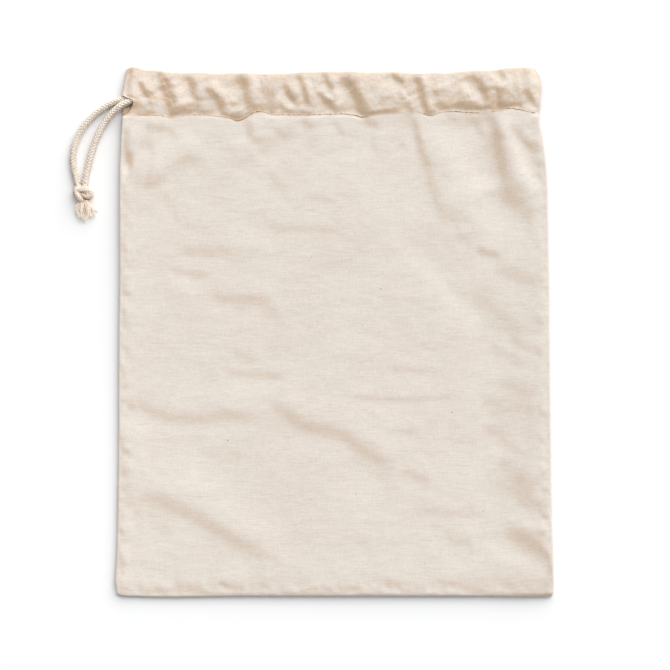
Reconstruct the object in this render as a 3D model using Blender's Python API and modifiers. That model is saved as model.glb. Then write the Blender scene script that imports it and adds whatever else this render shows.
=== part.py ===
"""A small drawstring bread bag of plain-woven, unbleached cloth, lying empty on its back.

Two panels are sewn together along the sides and the bottom. The top of each is turned down
to the inside as a hem, and each hem is a channel for the drawcord. The cord runs through the
back channel, turns beside the right seam and comes back through the front channel. Both of
its tails leave at the left through a slot in the seam and are tied in one overhand knot,
below which their ends are frayed.

Metres, +Z up, the mouth toward +Y. The origin lies under the middle of the panels. The tables
and heights below are in millimetres, and a height is that of the middle of a cloth layer.
"""

from collections import namedtuple
from math import cos, hypot, pi, radians, sin, sqrt

import bmesh
import bpy
from mathutils import Vector

MM = 0.001

# Driving dimensions
BAG_WIDTH = 302.0  # across the bottom
CLOTH = 1.0  # thickness of the cloth
GAP = 0.3  # air between one piece and the next
CORD = 4.8  # diameter of the drawcord
HEM_TAIL = 4.0  # the hem's end beyond the line of stitches
FRONT_LOFT = 1.3  # how far the empty front lies above its lowest place
CASING_PUFF = 3.6  # height of the gathers over the cord
SEAM_INSET = 0.5  # how far the back's edges stay behind the front's

# Heights of the layers
BACK_Z = CLOTH / 2
REST_Z = BACK_Z + CLOTH + GAP  # a layer lying straight on the back panel
LAYER_STEP = 2.0  # from layer to layer in the casing, square to the cloth
STEEPEST = 1.25  # slope of a hem beside the cord
CORD_RADIUS = CORD / 2
CORD_CLEAR = CORD_RADIUS + GAP + CLOTH / 2  # from the cord's axis to a layer over it
CORD_LIFT = 0.4  # air between the back panel and the cord on it
SPARE = 0.2  # more room between the cord and the layer over it, for the flat faces
BACK_CORD_Z = CLOTH + CORD_LIFT + CORD_RADIUS
BACK_HUMP = BACK_CORD_Z + CORD_CLEAR + SPARE - REST_Z  # the back hem's rise over the cord
HUMP_TOP = 1.6  # from the cord to where the hem starts down from it
HUMP_BELOW = 11.0  # from the cord down to where the hem lies flat again
HUMP_ABOVE = 10.0  # the same, up to the top fold
HUMP_LEFT = -143.0  # the back hem is level again from here to the left seam
HUMP_RIGHT = 141.5  # and from here to the right seam
HUMP_FADE = 18.0  # from either of these to its full height
HEM_LEVEL = 175.5  # the hems are level from this y to their top folds
FRONT_CORD_LIFT = 0.8  # the front cord lies this much over its clearance from the hems
FRONT_CORD_Z = REST_Z + LAYER_STEP + CORD_CLEAR + FRONT_CORD_LIFT
STITCH_Z = REST_Z + 2 * LAYER_STEP
PLATEAU_Z = FRONT_CORD_Z + CORD_CLEAR + SPARE  # the casing's outer layer over both cords
END_LIFT = 1.3  # how much more the casing is lifted where the cord leaves it
END_LIFT_X = -100.0  # that starts here
END_LIFT_RUN = 18.0  # and reaches its full height this much further left
CASING_RISE = 5.5  # from the stitches to the full height of the casing
CASING_FALL = 8.0  # from the full height to the top fold
GATHERS_AT_TOP = 0.2  # share of the gathers' height that is left at the top fold
FOLD_BACK = 4.0  # the layers are level over this depth before the top fold
TOP_STEP = 2.4  # between the two front layers at the top fold
FOLD_BULGE = 1.6  # most that a top fold reaches out beyond its straight layers
FOLD_EASE = 0.3  # share of the casing's depth that is drawn toward its top fold
CORNER_Y = 172.0  # the top right corner starts up over its hems here
CORNER_RISE = 6.0  # and lies on them this far above
YOKE = 30.0  # from the stitches down to where the front lies at its body height
YOKE_FOLDS = 0.3  # share of a fold's height that is left at the stitches
HEM_UNDER = 8.0  # below the stitches, the depth in which the front lies on the hems
LEAST_LOFT = 0.1
EDGE_EASE = 8.0  # from a seam to the full height of the cloth beside it
UNDERSIDE_LIFT = 0.03  # keeps the start of the back's top fold level with its underside

# The hems end short of the seams, where the cord turns (right) and leaves (left)
HEM_LEFT = -125.0
HEM_RIGHT = 120.0
HEM_CORNER = 0.2  # share of the hem's depth over which it narrows

# Divisions of the meshes. The steps are shares of the depth, closer where the cloth bends.
END_COLUMNS = 4
END_COLUMN_WIDTH = 2.6
MIDDLE_COLUMNS = 42
BODY_ROWS = 26
FOLD_ROWS = 4
CASING_STEPS = (0.0, 0.12, 0.19, 0.25, 0.33, 0.43, 0.55, 0.7, 0.86, 1.0)
HEM_STEPS = (0.0, 0.06, 0.12, 0.2, 0.29, 0.38, 0.48, 0.6, 0.78, 1.0)
BACK_STEPS = (0.0, 0.12, 0.36, 0.62, 0.86, 1.0)
SIDE_PASSES = 2  # rounds in which a point's x and y settle on the slanting edges

# Edges of the bag as it lies. slot is the front's own left edge, which draws back where
# the cord comes out, and lift is the height of that edge.
Side = namedtuple("Side", "y left right")
SIDES = (
    Side(-182.4, -147.2, 149.4),
    Side(-177.6, -149.9, 151.2),
    Side(-172.5, -151.4, 151.4),
    Side(-163.8, -151.2, 150.8),
    Side(-150.0, -150.0, 150.1),
    Side(-108.6, -149.3, 149.4),
    Side(-53.4, -148.7, 148.7),
    Side(2.0, -148.6, 148.0),
    Side(57.0, -148.0, 147.3),
    Side(84.5, -149.2, 147.3),
    Side(112.0, -148.6, 145.9),
    Side(126.0, -148.0, 145.2),
    Side(141.0, -147.0, 141.8),
    Side(149.5, -146.0, 141.0),
    Side(158.0, -145.6, 142.4),
    Side(166.0, -145.8, 142.5),
    Side(171.5, -144.6, 141.8),
    Side(177.0, -143.8, 141.1),
    Side(182.4, -142.6, 140.6),
)
Slot = namedtuple("Slot", "y left lift")
SLOT = (
    Slot(149.0, -146.0, REST_Z),
    Slot(152.0, -145.6, 2.1),
    Slot(154.0, -142.2, 3.4),
    Slot(155.2, -138.8, 6.8),
    Slot(156.4, -138.2, 11.1),
    Slot(159.0, -138.4, 12.6),
    Slot(162.0, -139.2, 11.6),
    Slot(164.5, -143.2, 8.2),
    Slot(168.0, -145.2, STITCH_Z),
    Slot(172.0, -144.6, STITCH_Z),
    Slot(178.0, -143.8, STITCH_Z),
)
Edge = namedtuple("Edge", "x y")
TOP_EDGE = (
    Edge(-144.0, 178.5),
    Edge(-140.5, 182.4),
    Edge(-123.0, 181.0),
    Edge(-100.0, 180.0),
    Edge(-80.0, 178.4),
    Edge(-40.0, 178.4),
    Edge(-20.0, 179.5),
    Edge(12.0, 179.7),
    Edge(40.0, 180.0),
    Edge(63.0, 177.7),
    Edge(95.0, 180.4),
    Edge(105.0, 179.7),
    Edge(116.0, 181.8),
    Edge(128.0, 182.4),
    Edge(137.5, 182.2),
    Edge(141.0, 180.0),
)
STITCH_LINE = (
    Edge(-146.0, 150.5),
    Edge(-80.0, 150.0),
    Edge(-65.0, 146.8),
    Edge(-56.0, 151.4),
    Edge(-30.0, 149.4),
    Edge(22.0, 149.4),
    Edge(57.0, 152.8),
    Edge(66.0, 149.8),
    Edge(80.0, 152.0),
    Edge(108.0, 152.0),
    Edge(130.0, 154.8),
    Edge(139.0, 151.4),
)
BOTTOM_EDGE = (
    Edge(-151.4, -177.4),
    Edge(-147.0, -181.6),
    Edge(-120.0, -181.8),
    Edge(0.0, -181.9),
    Edge(120.0, -182.4),
    Edge(148.0, -182.2),
    Edge(151.4, -178.6),
)

# Hollows between the gathers of the casing: the two ends, half the width, and how far the
# cloth drops there, as a share of the gathers' height
Gather = namedtuple("Gather", "x0 y0 x1 y1 width depth")
GATHERS = (
    Gather(-134.0, 175.0, -127.0, 162.0, 3.5, 0.7),
    Gather(-120.5, 176.0, -111.0, 150.0, 6.5, 1.0),
    Gather(-109.0, 152.0, -91.0, 155.0, 4.5, 0.8),
    Gather(-98.5, 178.0, -96.0, 162.0, 4.5, 0.8),
    Gather(-88.0, 167.0, -75.0, 149.0, 5.5, 0.9),
    Gather(-64.0, 177.0, -58.0, 155.0, 5.0, 1.0),
    Gather(-45.0, 172.0, -43.0, 154.0, 8.0, 0.5),
    Gather(-33.0, 171.0, -26.5, 151.0, 4.0, 0.9),
    Gather(-25.0, 178.0, -17.5, 152.0, 4.5, 1.0),
    Gather(-9.0, 165.0, 0.0, 152.0, 4.0, 0.7),
    Gather(5.0, 178.0, 22.0, 150.0, 6.5, 1.0),
    Gather(41.0, 178.0, 48.0, 160.0, 4.0, 0.7),
    Gather(57.0, 178.0, 67.0, 150.0, 5.0, 1.0),
    Gather(74.0, 169.0, 77.0, 158.0, 5.0, 0.6),
    Gather(93.0, 178.0, 106.0, 152.0, 6.5, 1.0),
    Gather(113.0, 171.0, 119.0, 156.0, 7.0, 0.9),
    Gather(133.0, 171.0, 139.0, 157.0, 3.5, 0.7),
)

# Folds of the front below the casing: the line that each follows, half its width, and its
# height, which is below 0 in a trough
Fold = namedtuple("Fold", "line width height")
FOLDS = (
    Fold(((-45, -47), (-27, -58), (-9, -65), (13, -73), (29, -84), (46, -91), (66, -103)), 9, -1.9),
    Fold(((-88, -45), (-37, -36), (-14, -38), (14, -56)), 12, 1.3),
    Fold(((-150, -47), (-133, -53), (-107, -59), (-59, -57)), 9, -1.5),
    Fold(((-143, -66), (-118, -74)), 12, 0.9),
    Fold(((-147, -117), (-120, -113), (-103, -121), (-65, -144), (-23, -164)), 9, -1.9),
    Fold(((-125, -98), (-88, -112), (-50, -134), (-18, -150)), 12, 1.2),
    Fold(((114, 150), (110, 128), (116, 110), (124, 98), (140, 80)), 9, -2.6),
    Fold(((119, 146), (128, 125), (136, 108)), 8, 2.0),
    Fold(((95, 142), (99, 118)), 12, 1.2),
    Fold(((126, 143), (139, 127)), 5, -1.4),
    Fold(((54, 150), (59, 129), (67, 118), (75, 98), (78, 76)), 8, -1.8),
    Fold(((70, 140), (80, 118)), 9, 1.4),
    Fold(((-2, 147), (9, 132)), 6, -0.9),
    Fold(((-22, 149), (-15, 139)), 6, -1.3),
    Fold(((95, 148), (101, 138)), 5, -1.0),
    Fold(((-92, 127), (-126, 103)), 10, -1.3),
    Fold(((-112, 136), (-140, 116)), 10, 1.0),
    Fold(((-34, 139), (-66, 115)), 9, -1.3),
    Fold(((45, 55), (62, 36), (88, 8)), 13, 1.3),
    Fold(((98, 70), (116, 52)), 8, -1.0),
    Fold(((122, 44), (139, 34)), 7, -0.9),
    Fold(((109, -9), (133, -27)), 8, -1.2),
    Fold(((121, -137), (149, -160)), 9, -2.0),
    Fold(((110, -146), (148, -167)), 9, 1.6),
    Fold(((-108, 58), (-66, 55)), 8, -0.7),
    Fold(((-84, 24), (-30, 20)), 8, -0.7),
    Fold(((-84, -24), (-62, -31), (-36, -30)), 8, -0.8),
    Fold(((-146, 97), (-132, 101)), 6, -0.8),
)

# The drawcord from one tail's end at the knot, round the bag, to the other's
Route = namedtuple("Route", "x y z")
UPPER_TAIL = (
    Route(-176.5, 102.3, 2.5),
    Route(-177.4, 106.5, 2.5),
    Route(-179.4, 115.0, 2.5),
    Route(-179.4, 124.4, 2.5),
    Route(-176.2, 134.8, 2.5),
    Route(-170.0, 144.6, 2.5),
    Route(-161.2, 152.9, 2.7),
    Route(-151.8, 158.2, 3.5),
)
BACK_CHANNEL = (
    Route(-142.4, 161.5, 3.9),
    Route(-135.0, 164.4, 3.9),
    Route(-127.0, 167.0, BACK_CORD_Z),
    Route(-110.0, 168.6, BACK_CORD_Z),
    Route(-85.0, 167.8, BACK_CORD_Z),
    Route(-60.0, 168.4, BACK_CORD_Z),
    Route(-35.0, 168.2, BACK_CORD_Z),
    Route(-10.0, 168.0, BACK_CORD_Z),
    Route(15.0, 167.4, BACK_CORD_Z),
    Route(40.0, 168.2, BACK_CORD_Z),
    Route(65.0, 169.6, BACK_CORD_Z),
    Route(88.0, 170.2, BACK_CORD_Z),
    Route(106.0, 172.0, BACK_CORD_Z),
)
TURN = (
    Route(119.0, 173.0, BACK_CORD_Z),
    Route(126.6, 170.8, 4.4),
    Route(129.6, 166.0, 5.4),
    Route(126.6, 161.2, 6.4),
    Route(119.0, 159.4, FRONT_CORD_Z),
)
FRONT_CHANNEL = (
    Route(106.0, 159.2, FRONT_CORD_Z),
    Route(88.0, 158.6, FRONT_CORD_Z),
    Route(65.0, 158.6, FRONT_CORD_Z),
    Route(40.0, 157.6, FRONT_CORD_Z),
    Route(15.0, 156.4, FRONT_CORD_Z),
    Route(-10.0, 156.8, FRONT_CORD_Z),
    Route(-35.0, 157.0, FRONT_CORD_Z),
    Route(-60.0, 157.0, FRONT_CORD_Z),
    Route(-85.0, 156.6, FRONT_CORD_Z),
    Route(-110.0, 156.8, 8.1),
    Route(-127.0, 157.8, 9.0),
)
LOWER_TAIL = (
    Route(-139.0, 159.6, 8.5),
    Route(-145.8, 156.2, 7.2),
    Route(-152.0, 150.8, 5.4),
    Route(-158.0, 143.2, 3.4),
    Route(-162.8, 134.8, 2.6),
    Route(-166.2, 125.4, 2.5),
    Route(-168.6, 116.2, 2.5),
    Route(-170.6, 107.4, 2.5),
    Route(-171.2, 102.3, 2.5),
)
# The overhand knot: its middle, its two turns, and the two stubs that meet the tails
KNOT_MIDDLE = (-171.2, 95.6, 3.9)
KNOT_MIDDLE_SIZE = (5.6, 3.8, 3.8)
KNOT_TURNS = (
    (
        Route(-176.3, 97.6, 3.0),
        Route(-174.0, 98.4, 6.0),
        Route(-170.0, 98.3, 7.4),
        Route(-166.9, 96.4, 6.4),
        Route(-166.4, 93.9, 4.0),
        Route(-168.6, 92.6, 2.9),
    ),
    (
        Route(-176.5, 98.0, 3.2),
        Route(-176.0, 95.4, 5.2),
        Route(-173.2, 94.2, 6.8),
        Route(-170.2, 92.9, 6.2),
        Route(-168.4, 92.0, 4.0),
    ),
)
KNOT_STUBS = (
    (
        Route(-176.42, 101.9, 2.5),
        Route(-175.7, 98.6, 2.6),
        Route(-173.6, 96.0, 3.6),
    ),
    (
        Route(-171.24, 101.9, 2.5),
        Route(-171.6, 98.8, 2.6),
        Route(-171.4, 96.0, 3.6),
    ),
)

# The frayed ends: a fan of strands from inside the knot down to the surface
STRANDS = 16
STRAND_RADIUS = 0.75
STRAND_TIP_RADIUS = 0.45
FAN_ROOT = (-170.9, 93.0)
FAN_ROOT_WIDTH = 4.6
FAN_FROM = -121.0  # degrees from +X, the direction of the first strand
FAN_TO = -55.0
FAN_LENGTH = 15.5
FAN_UNEVEN = 0.1  # share of the length by which the strands differ
UPPER_SHORTER = 1.2  # every second strand lies on the ones beside it and is shorter
ROOT_Z = 3.6  # height of a lower strand at its root
ROOT_STEP = 1.0  # from a lower strand to an upper one, at the root
TIP_Z = 0.7  # a lower strand lies level on the surface at this height
TIP_STEP = 1.5
KNEE_AT = 0.38  # share of the length at which a strand arches most
KNEE_RISE = 0.9
KNEE_SPREAD = 0.6
LEVEL_FROM = 0.72  # share of the length from which a strand lies level
STRAND_SAMPLES = 2  # between two of a strand's points
GOLDEN_ANGLE = 2.4  # radians, so that no two neighbours have the same length

# The stretch of cord that the back hem lies over
BACK_RUN = UPPER_TAIL[-1:] + BACK_CHANNEL + TURN[:3]
RUN_SAMPLES = 12  # between two of its points

CLOTH_COLOUR = (0.83, 0.76, 0.66)
CORD_COLOUR = (0.80, 0.72, 0.62)


def smooth(share):
    """Eases from 0 to 1 as the share does."""
    share = min(max(share, 0.0), 1.0)
    return share * share * (3.0 - 2.0 * share)


def blend(first, second, share):
    return first + (second - first) * share


def read(rows, place, column, by="x"):
    """The column's value at a place along the rows, eased from each row to the next."""
    previous = rows[0]
    for row in rows[1:]:
        low = getattr(previous, by)
        high = getattr(row, by)
        if place <= high:
            share = smooth((place - low) / (high - low))
            return blend(getattr(previous, column), getattr(row, column), share)
        previous = row
    return getattr(previous, column)


def distance_to(x, y, line):
    """The plan distance from a point to a line of straight pieces."""
    nearest = 1e9
    for (ax, ay), (bx, by) in zip(line, line[1:]):
        run = (bx - ax) ** 2 + (by - ay) ** 2
        share = min(max(((x - ax) * (bx - ax) + (y - ay) * (by - ay)) / run, 0.0), 1.0)
        nearest = min(nearest, hypot(x - blend(ax, bx, share), y - blend(ay, by, share)))
    return nearest


def curve_through(route, per_span):
    """Points along a smooth curve through the route's own points."""
    marks = [Vector(point) for point in route]
    marks = [2 * marks[0] - marks[1]] + marks + [2 * marks[-1] - marks[-2]]
    points = []
    for before, start, end, after in zip(marks, marks[1:], marks[2:], marks[3:]):
        for step in range(per_span):
            t = step / per_span
            points.append(
                (
                    2 * start
                    + (end - before) * t
                    + (2 * before - 5 * start + 4 * end - after) * t**2
                    + (3 * start - before - 3 * end + after) * t**3
                )
                / 2
            )
    return points + [marks[-2]]


def height_over(x, y, run):
    """The lowest height at which a layer clears this run of cord, or 0 beside it."""
    height = 0.0
    for point in run:
        aside = hypot(x - point.x, y - point.y)
        if aside < CORD_CLEAR:
            height = max(height, point.z + sqrt(CORD_CLEAR**2 - aside**2))
    return height


BACK_SAMPLES = curve_through(BACK_RUN, RUN_SAMPLES)


def back_hem_z(x, y):
    """The back hem, which lies on the back panel and climbs over the cord."""
    y = min(y, HEM_LEVEL)
    aside = y - read(BACK_CHANNEL + TURN[:1], x, "y")
    reach = HUMP_ABOVE if aside > 0 else HUMP_BELOW
    share = smooth((abs(aside) - HUMP_TOP) / (reach - HUMP_TOP))
    fade = smooth((HUMP_RIGHT - x) / HUMP_FADE) * smooth((x - HUMP_LEFT) / HUMP_FADE)
    return max(REST_Z + BACK_HUMP * (1 - share) * fade, height_over(x, y, BACK_SAMPLES))


def front_hem_z(x, y):
    """The front hem, one layer over the back hem."""
    slope_x = back_hem_z(x + 0.5, y) - back_hem_z(x - 0.5, y)
    slope_y = back_hem_z(x, y + 0.5) - back_hem_z(x, y - 0.5)
    slope = min(hypot(slope_x, slope_y), STEEPEST)
    return back_hem_z(x, y) + LAYER_STEP * sqrt(1 + slope**2)


def gather_height(x, y):
    """The casing's gathers, from 0 in a hollow to their full height."""
    drop = 0.0
    for gather in GATHERS:
        line = ((gather.x0, gather.y0), (gather.x1, gather.y1))
        share = 1 - smooth(distance_to(x, y, line) / gather.width)
        drop = max(drop, gather.depth * share)
    return CASING_PUFF * (1 - drop)


def fold_height(x, y):
    total = 0.0
    for fold in FOLDS:
        total += fold.height * (1 - smooth(distance_to(x, y, fold.line) / fold.width))
    return total


def casing_z(x, y):
    """The front above its stitches, over both cords, with its gathers."""
    stitches = read(STITCH_LINE, x, "y")
    level = read(TOP_EDGE, x, "y") - FOLD_BACK
    y = min(y, level)
    rise = smooth((y - stitches) / CASING_RISE)
    fall = smooth((y - level + CASING_FALL) / CASING_FALL)
    top = front_hem_z(x, level) + TOP_STEP
    plateau = PLATEAU_Z + END_LIFT * smooth((END_LIFT_X - x) / END_LIFT_RUN)
    height = blend(STITCH_Z, plateau, rise)
    height = blend(height, top, fall)
    height = max(height, front_hem_z(x, y) + LAYER_STEP)
    return height + gather_height(x, y) * rise * blend(1, GATHERS_AT_TOP, fall)


def body_z(x, y):
    """The front below its stitches, lying on the back with its folds."""
    stitches = read(STITCH_LINE, x, "y")
    yoke = smooth((y - stitches + YOKE) / (YOKE - HEM_TAIL))
    folds = fold_height(x, y)
    if y > stitches - HEM_UNDER:
        folds = max(folds, 0.0)
    over_hems = STITCH_Z - REST_Z + max(folds, 0.0) * YOKE_FOLDS
    loft = blend(FRONT_LOFT + folds, over_hems, yoke)
    bottom = read(BOTTOM_EDGE, x, "y")
    return REST_Z + max(loft, LEAST_LOFT) * smooth((y - bottom) / EDGE_EASE)


def front_edge(y):
    """The front's left edge, its right edge, and the heights of the two."""
    left = read(SIDES, y, "left", "y")
    right = read(SIDES, y, "right", "y")
    if y <= SLOT[0].y:
        return left, right, REST_Z, REST_Z
    lift = read(SLOT, y, "lift", "y")
    corner = blend(REST_Z, STITCH_Z, smooth((y - CORNER_Y) / CORNER_RISE))
    return read(SLOT, y, "left", "y"), right, lift, corner


def front_outer(across, y_at):
    """A point of the front's outer layer. y_at gives y at a place across."""
    x = blend(-BAG_WIDTH / 2, BAG_WIDTH / 2, across)
    for _ in range(SIDE_PASSES):
        y = y_at(x)
        left, right, left_z, right_z = front_edge(y)
        x = blend(left, right, across)
    height = casing_z(x, y) if y > read(STITCH_LINE, x, "y") else body_z(x, y)
    height = blend(left_z, height, smooth((x - left) / EDGE_EASE))
    height = blend(right_z, height, smooth((right - x) / EDGE_EASE))
    return Vector((x, y, height))


def front_point(across, row):
    """A point of the front panel's middle surface, by its place across and its row."""
    zone, share = row
    if zone == "body":
        return front_outer(
            across,
            lambda x: blend(read(BOTTOM_EDGE, x, "y"), read(STITCH_LINE, x, "y"), share),
        )

    def level(x):
        return read(TOP_EDGE, x, "y") - FOLD_BACK

    outer = front_outer(across, level)
    radius = max(outer.z - front_hem_z(outer.x, outer.y), LAYER_STEP) / 2
    bulge = min(radius, FOLD_BULGE)
    turn_y = outer.y + FOLD_BACK - CLOTH / 2 - bulge
    if zone == "casing":
        point = front_outer(
            across, lambda x: blend(read(STITCH_LINE, x, "y"), level(x), share)
        )
        point.y += (turn_y - outer.y) * smooth((share - 1 + FOLD_EASE) / FOLD_EASE)
        return point
    if zone == "fold":
        return Vector(
            (
                outer.x,
                turn_y + bulge * sin(pi * share),
                outer.z - radius + radius * cos(pi * share),
            )
        )
    narrow = smooth(share / HEM_CORNER)
    x = blend(outer.x, blend(HEM_LEFT, HEM_RIGHT, across), narrow)
    y = blend(turn_y, read(STITCH_LINE, x, "y") - HEM_TAIL, share)
    return Vector((x, y, front_hem_z(x, y)))


def back_point(across, row):
    """A point of the back panel's middle surface, by its place across and its row."""
    zone, share = row
    x = blend(-BAG_WIDTH / 2, BAG_WIDTH / 2, across)
    for _ in range(SIDE_PASSES):
        top = read(TOP_EDGE, x, "y") - SEAM_INSET
        bottom = read(BOTTOM_EDGE, x, "y") + SEAM_INSET
        radius = (back_hem_z(x, top) - BACK_Z) / 2
        bulge = min(radius, FOLD_BULGE)
        turn_y = top - CLOTH / 2 - bulge
        y = turn_y
        if zone == "body":
            y = blend(bottom, turn_y, share)
        left = read(SIDES, y, "left", "y") + SEAM_INSET
        right = read(SIDES, y, "right", "y") - SEAM_INSET
        x = blend(left, right, across)
    if zone == "body":
        return Vector((x, y, BACK_Z + UNDERSIDE_LIFT * (share == 1.0)))
    if zone == "fold":
        return Vector(
            (
                x,
                turn_y + bulge * sin(pi * share),
                BACK_Z + radius - radius * cos(pi * share),
            )
        )
    narrow = smooth(share / HEM_CORNER)
    end = blend(x, blend(HEM_LEFT, HEM_RIGHT, across), narrow)
    y = blend(turn_y, read(STITCH_LINE, end, "y") - HEM_TAIL, share)
    return Vector((end, y, back_hem_z(end, y)))


def clear_scene():
    for thing in list(bpy.data.objects):
        bpy.data.objects.remove(thing, do_unlink=True)


def collection_named(name):
    collection = bpy.data.collections.new(name)
    bpy.context.scene.collection.children.link(collection)
    return collection


def finish(name, colour, roughness):
    """A plain material of this colour."""
    material = bpy.data.materials.new(name)
    material.use_nodes = True
    surface = material.node_tree.nodes["Principled BSDF"]
    surface.inputs["Base Color"].default_value = (*colour, 1.0)
    surface.inputs["Roughness"].default_value = roughness
    surface.inputs["Metallic"].default_value = 0.0
    return material


def columns_across():
    """Places from 0 to 1 across a panel, closer together beside the seams."""
    end = END_COLUMNS * END_COLUMN_WIDTH / BAG_WIDTH
    places = [end * step / END_COLUMNS for step in range(END_COLUMNS)]
    places += [blend(end, 1 - end, step / MIDDLE_COLUMNS) for step in range(MIDDLE_COLUMNS)]
    places += [1 - end * step / END_COLUMNS for step in range(END_COLUMNS, -1, -1)]
    return places


def add_sheet(name, collection, material, rows, point_at):
    """A cloth panel: a grid laid out by point_at and given the cloth's thickness."""
    places = columns_across()
    mesh = bpy.data.meshes.new(name)
    grid = bmesh.new()
    bmesh.ops.create_grid(
        grid, x_segments=len(places) - 1, y_segments=len(rows) - 1, size=1.0
    )
    for vert in grid.verts:
        column = round((vert.co.x + 1) / 2 * (len(places) - 1))
        row = round((vert.co.y + 1) / 2 * (len(rows) - 1))
        vert.co = point_at(places[column], rows[row]) * MM
    grid.to_mesh(mesh)
    grid.free()
    mesh.materials.append(material)
    mesh.shade_smooth()
    sheet = bpy.data.objects.new(name, mesh)
    collection.objects.link(sheet)
    shell = sheet.modifiers.new("cloth", "SOLIDIFY")
    shell.thickness = CLOTH * MM
    shell.offset = 0.0
    shell.use_even_offset = True
    return sheet


def add_tube(name, collection, points, radii, sides_setting):
    """A closed tube along the points, which are in millimetres."""
    curve = bpy.data.curves.new(name, "CURVE")
    curve.dimensions = "3D"
    curve.bevel_depth = MM
    curve.bevel_resolution = sides_setting
    curve.use_fill_caps = True
    spline = curve.splines.new("POLY")
    spline.points.add(len(points) - 1)
    for spot, point, radius in zip(spline.points, points, radii):
        spot.co = (*(point * MM), 1.0)
        spot.radius = radius
    tube = bpy.data.objects.new(name, curve)
    collection.objects.link(tube)
    return tube


def as_mesh(tube, collection):
    """The tube as a mesh with its caps joined on, in place of its curve."""
    name = tube.name
    bpy.context.view_layer.update()
    graph = bpy.context.evaluated_depsgraph_get()
    mesh = bpy.data.meshes.new_from_object(tube.evaluated_get(graph))
    welded = bmesh.new()
    welded.from_mesh(mesh)
    bmesh.ops.remove_doubles(welded, verts=welded.verts, dist=0.00001)
    bmesh.ops.recalc_face_normals(welded, faces=welded.faces)
    welded.to_mesh(mesh)
    welded.free()
    bpy.data.objects.remove(tube, do_unlink=True)
    made = bpy.data.objects.new(name, mesh)
    collection.objects.link(made)
    return made


def add_panels(collection):
    cloth = finish("unbleached plain-woven cloth", CLOTH_COLOUR, 0.9)
    folds = [("fold", step / FOLD_ROWS) for step in range(1, FOLD_ROWS)]
    hems = [("hem", share) for share in HEM_STEPS]
    body = [("body", step / BODY_ROWS) for step in range(BODY_ROWS)]
    casing = [("casing", share) for share in CASING_STEPS]
    front_rows = body + casing + folds + hems
    back_rows = [("body", share) for share in BACK_STEPS] + folds + hems
    add_sheet("front_panel", collection, cloth, front_rows, front_point)
    add_sheet("back_panel", collection, cloth, back_rows, back_point)


def add_drawcord(collection, material):
    points = curve_through(UPPER_TAIL + BACK_CHANNEL[:3], 2)[:-1]
    points += curve_through(BACK_CHANNEL[2:], 1)[:-1]
    points += curve_through(BACK_CHANNEL[-1:] + TURN + FRONT_CHANNEL[:1], 3)[:-1]
    points += curve_through(FRONT_CHANNEL, 1)[:-1]
    points += curve_through(FRONT_CHANNEL[-1:] + LOWER_TAIL, 2)
    cord = add_tube("drawcord", collection, points, [CORD_RADIUS] * len(points), 2)
    cord.data.materials.append(material)


def strand_points(index):
    """A frayed strand, from its root in the knot to its tip lying on the surface."""
    share = index / (STRANDS - 1)
    upper = index % 2
    direction = radians(blend(FAN_FROM, FAN_TO, share))
    uneven = FAN_UNEVEN * (sin(GOLDEN_ANGLE * index) - 1)
    length = FAN_LENGTH * (1 + uneven) - UPPER_SHORTER * upper
    root = Vector((FAN_ROOT[0] + FAN_ROOT_WIDTH * (share - 0.5), FAN_ROOT[1], ROOT_Z))
    tip = root + Vector((cos(direction), sin(direction), 0.0)) * length
    root.z += ROOT_STEP * upper
    tip.z = TIP_Z + TIP_STEP * upper
    knee = blend(root, tip, KNEE_AT) + Vector((KNEE_SPREAD * (0.5 - share), 0.0, KNEE_RISE))
    level = blend(root, tip, LEVEL_FROM)
    level.z = tip.z
    return curve_through((root, knee, level, tip), STRAND_SAMPLES)


def add_knot(collection, helpers, material):
    """The overhand knot, one body with the roots of its frayed strands."""
    mesh = bpy.data.meshes.new("knot")
    middle = bmesh.new()
    bmesh.ops.create_uvsphere(middle, u_segments=12, v_segments=8, radius=MM)
    bmesh.ops.scale(middle, vec=KNOT_MIDDLE_SIZE, verts=middle.verts)
    bmesh.ops.translate(middle, vec=Vector(KNOT_MIDDLE) * MM, verts=middle.verts)
    middle.to_mesh(mesh)
    middle.free()
    mesh.materials.append(material)
    knot = bpy.data.objects.new("knot", mesh)
    collection.objects.link(knot)
    tubes = []
    for number, line in enumerate(KNOT_TURNS + KNOT_STUBS):
        points = curve_through(line, 2)
        name = f"knot_turn_{number}"
        tubes.append(add_tube(name, helpers, points, [CORD_RADIUS] * len(points), 2))
    for number in range(STRANDS):
        points = strand_points(number)
        last = len(points) - 1
        sizes = [
            blend(STRAND_RADIUS, STRAND_TIP_RADIUS, step / last) for step in range(last + 1)
        ]
        tubes.append(add_tube(f"knot_strand_{number}", helpers, points, sizes, 0))
    for tube in tubes:
        joined = as_mesh(tube, helpers)
        joined.hide_render = True
        joined.display_type = "WIRE"
        union = knot.modifiers.new(joined.name, "BOOLEAN")
        union.operation = "UNION"
        union.solver = "EXACT"
        union.object = joined


def main():
    clear_scene()
    bag = collection_named("Linen bread bag")
    helpers = collection_named("Knot helpers")
    cord = finish("braided cotton cord", CORD_COLOUR, 0.85)
    add_panels(bag)
    add_drawcord(bag, cord)
    add_knot(bag, helpers, cord)


main()
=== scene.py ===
import math
import random

import bpy
import numpy as np
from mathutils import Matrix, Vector, noise


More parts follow.
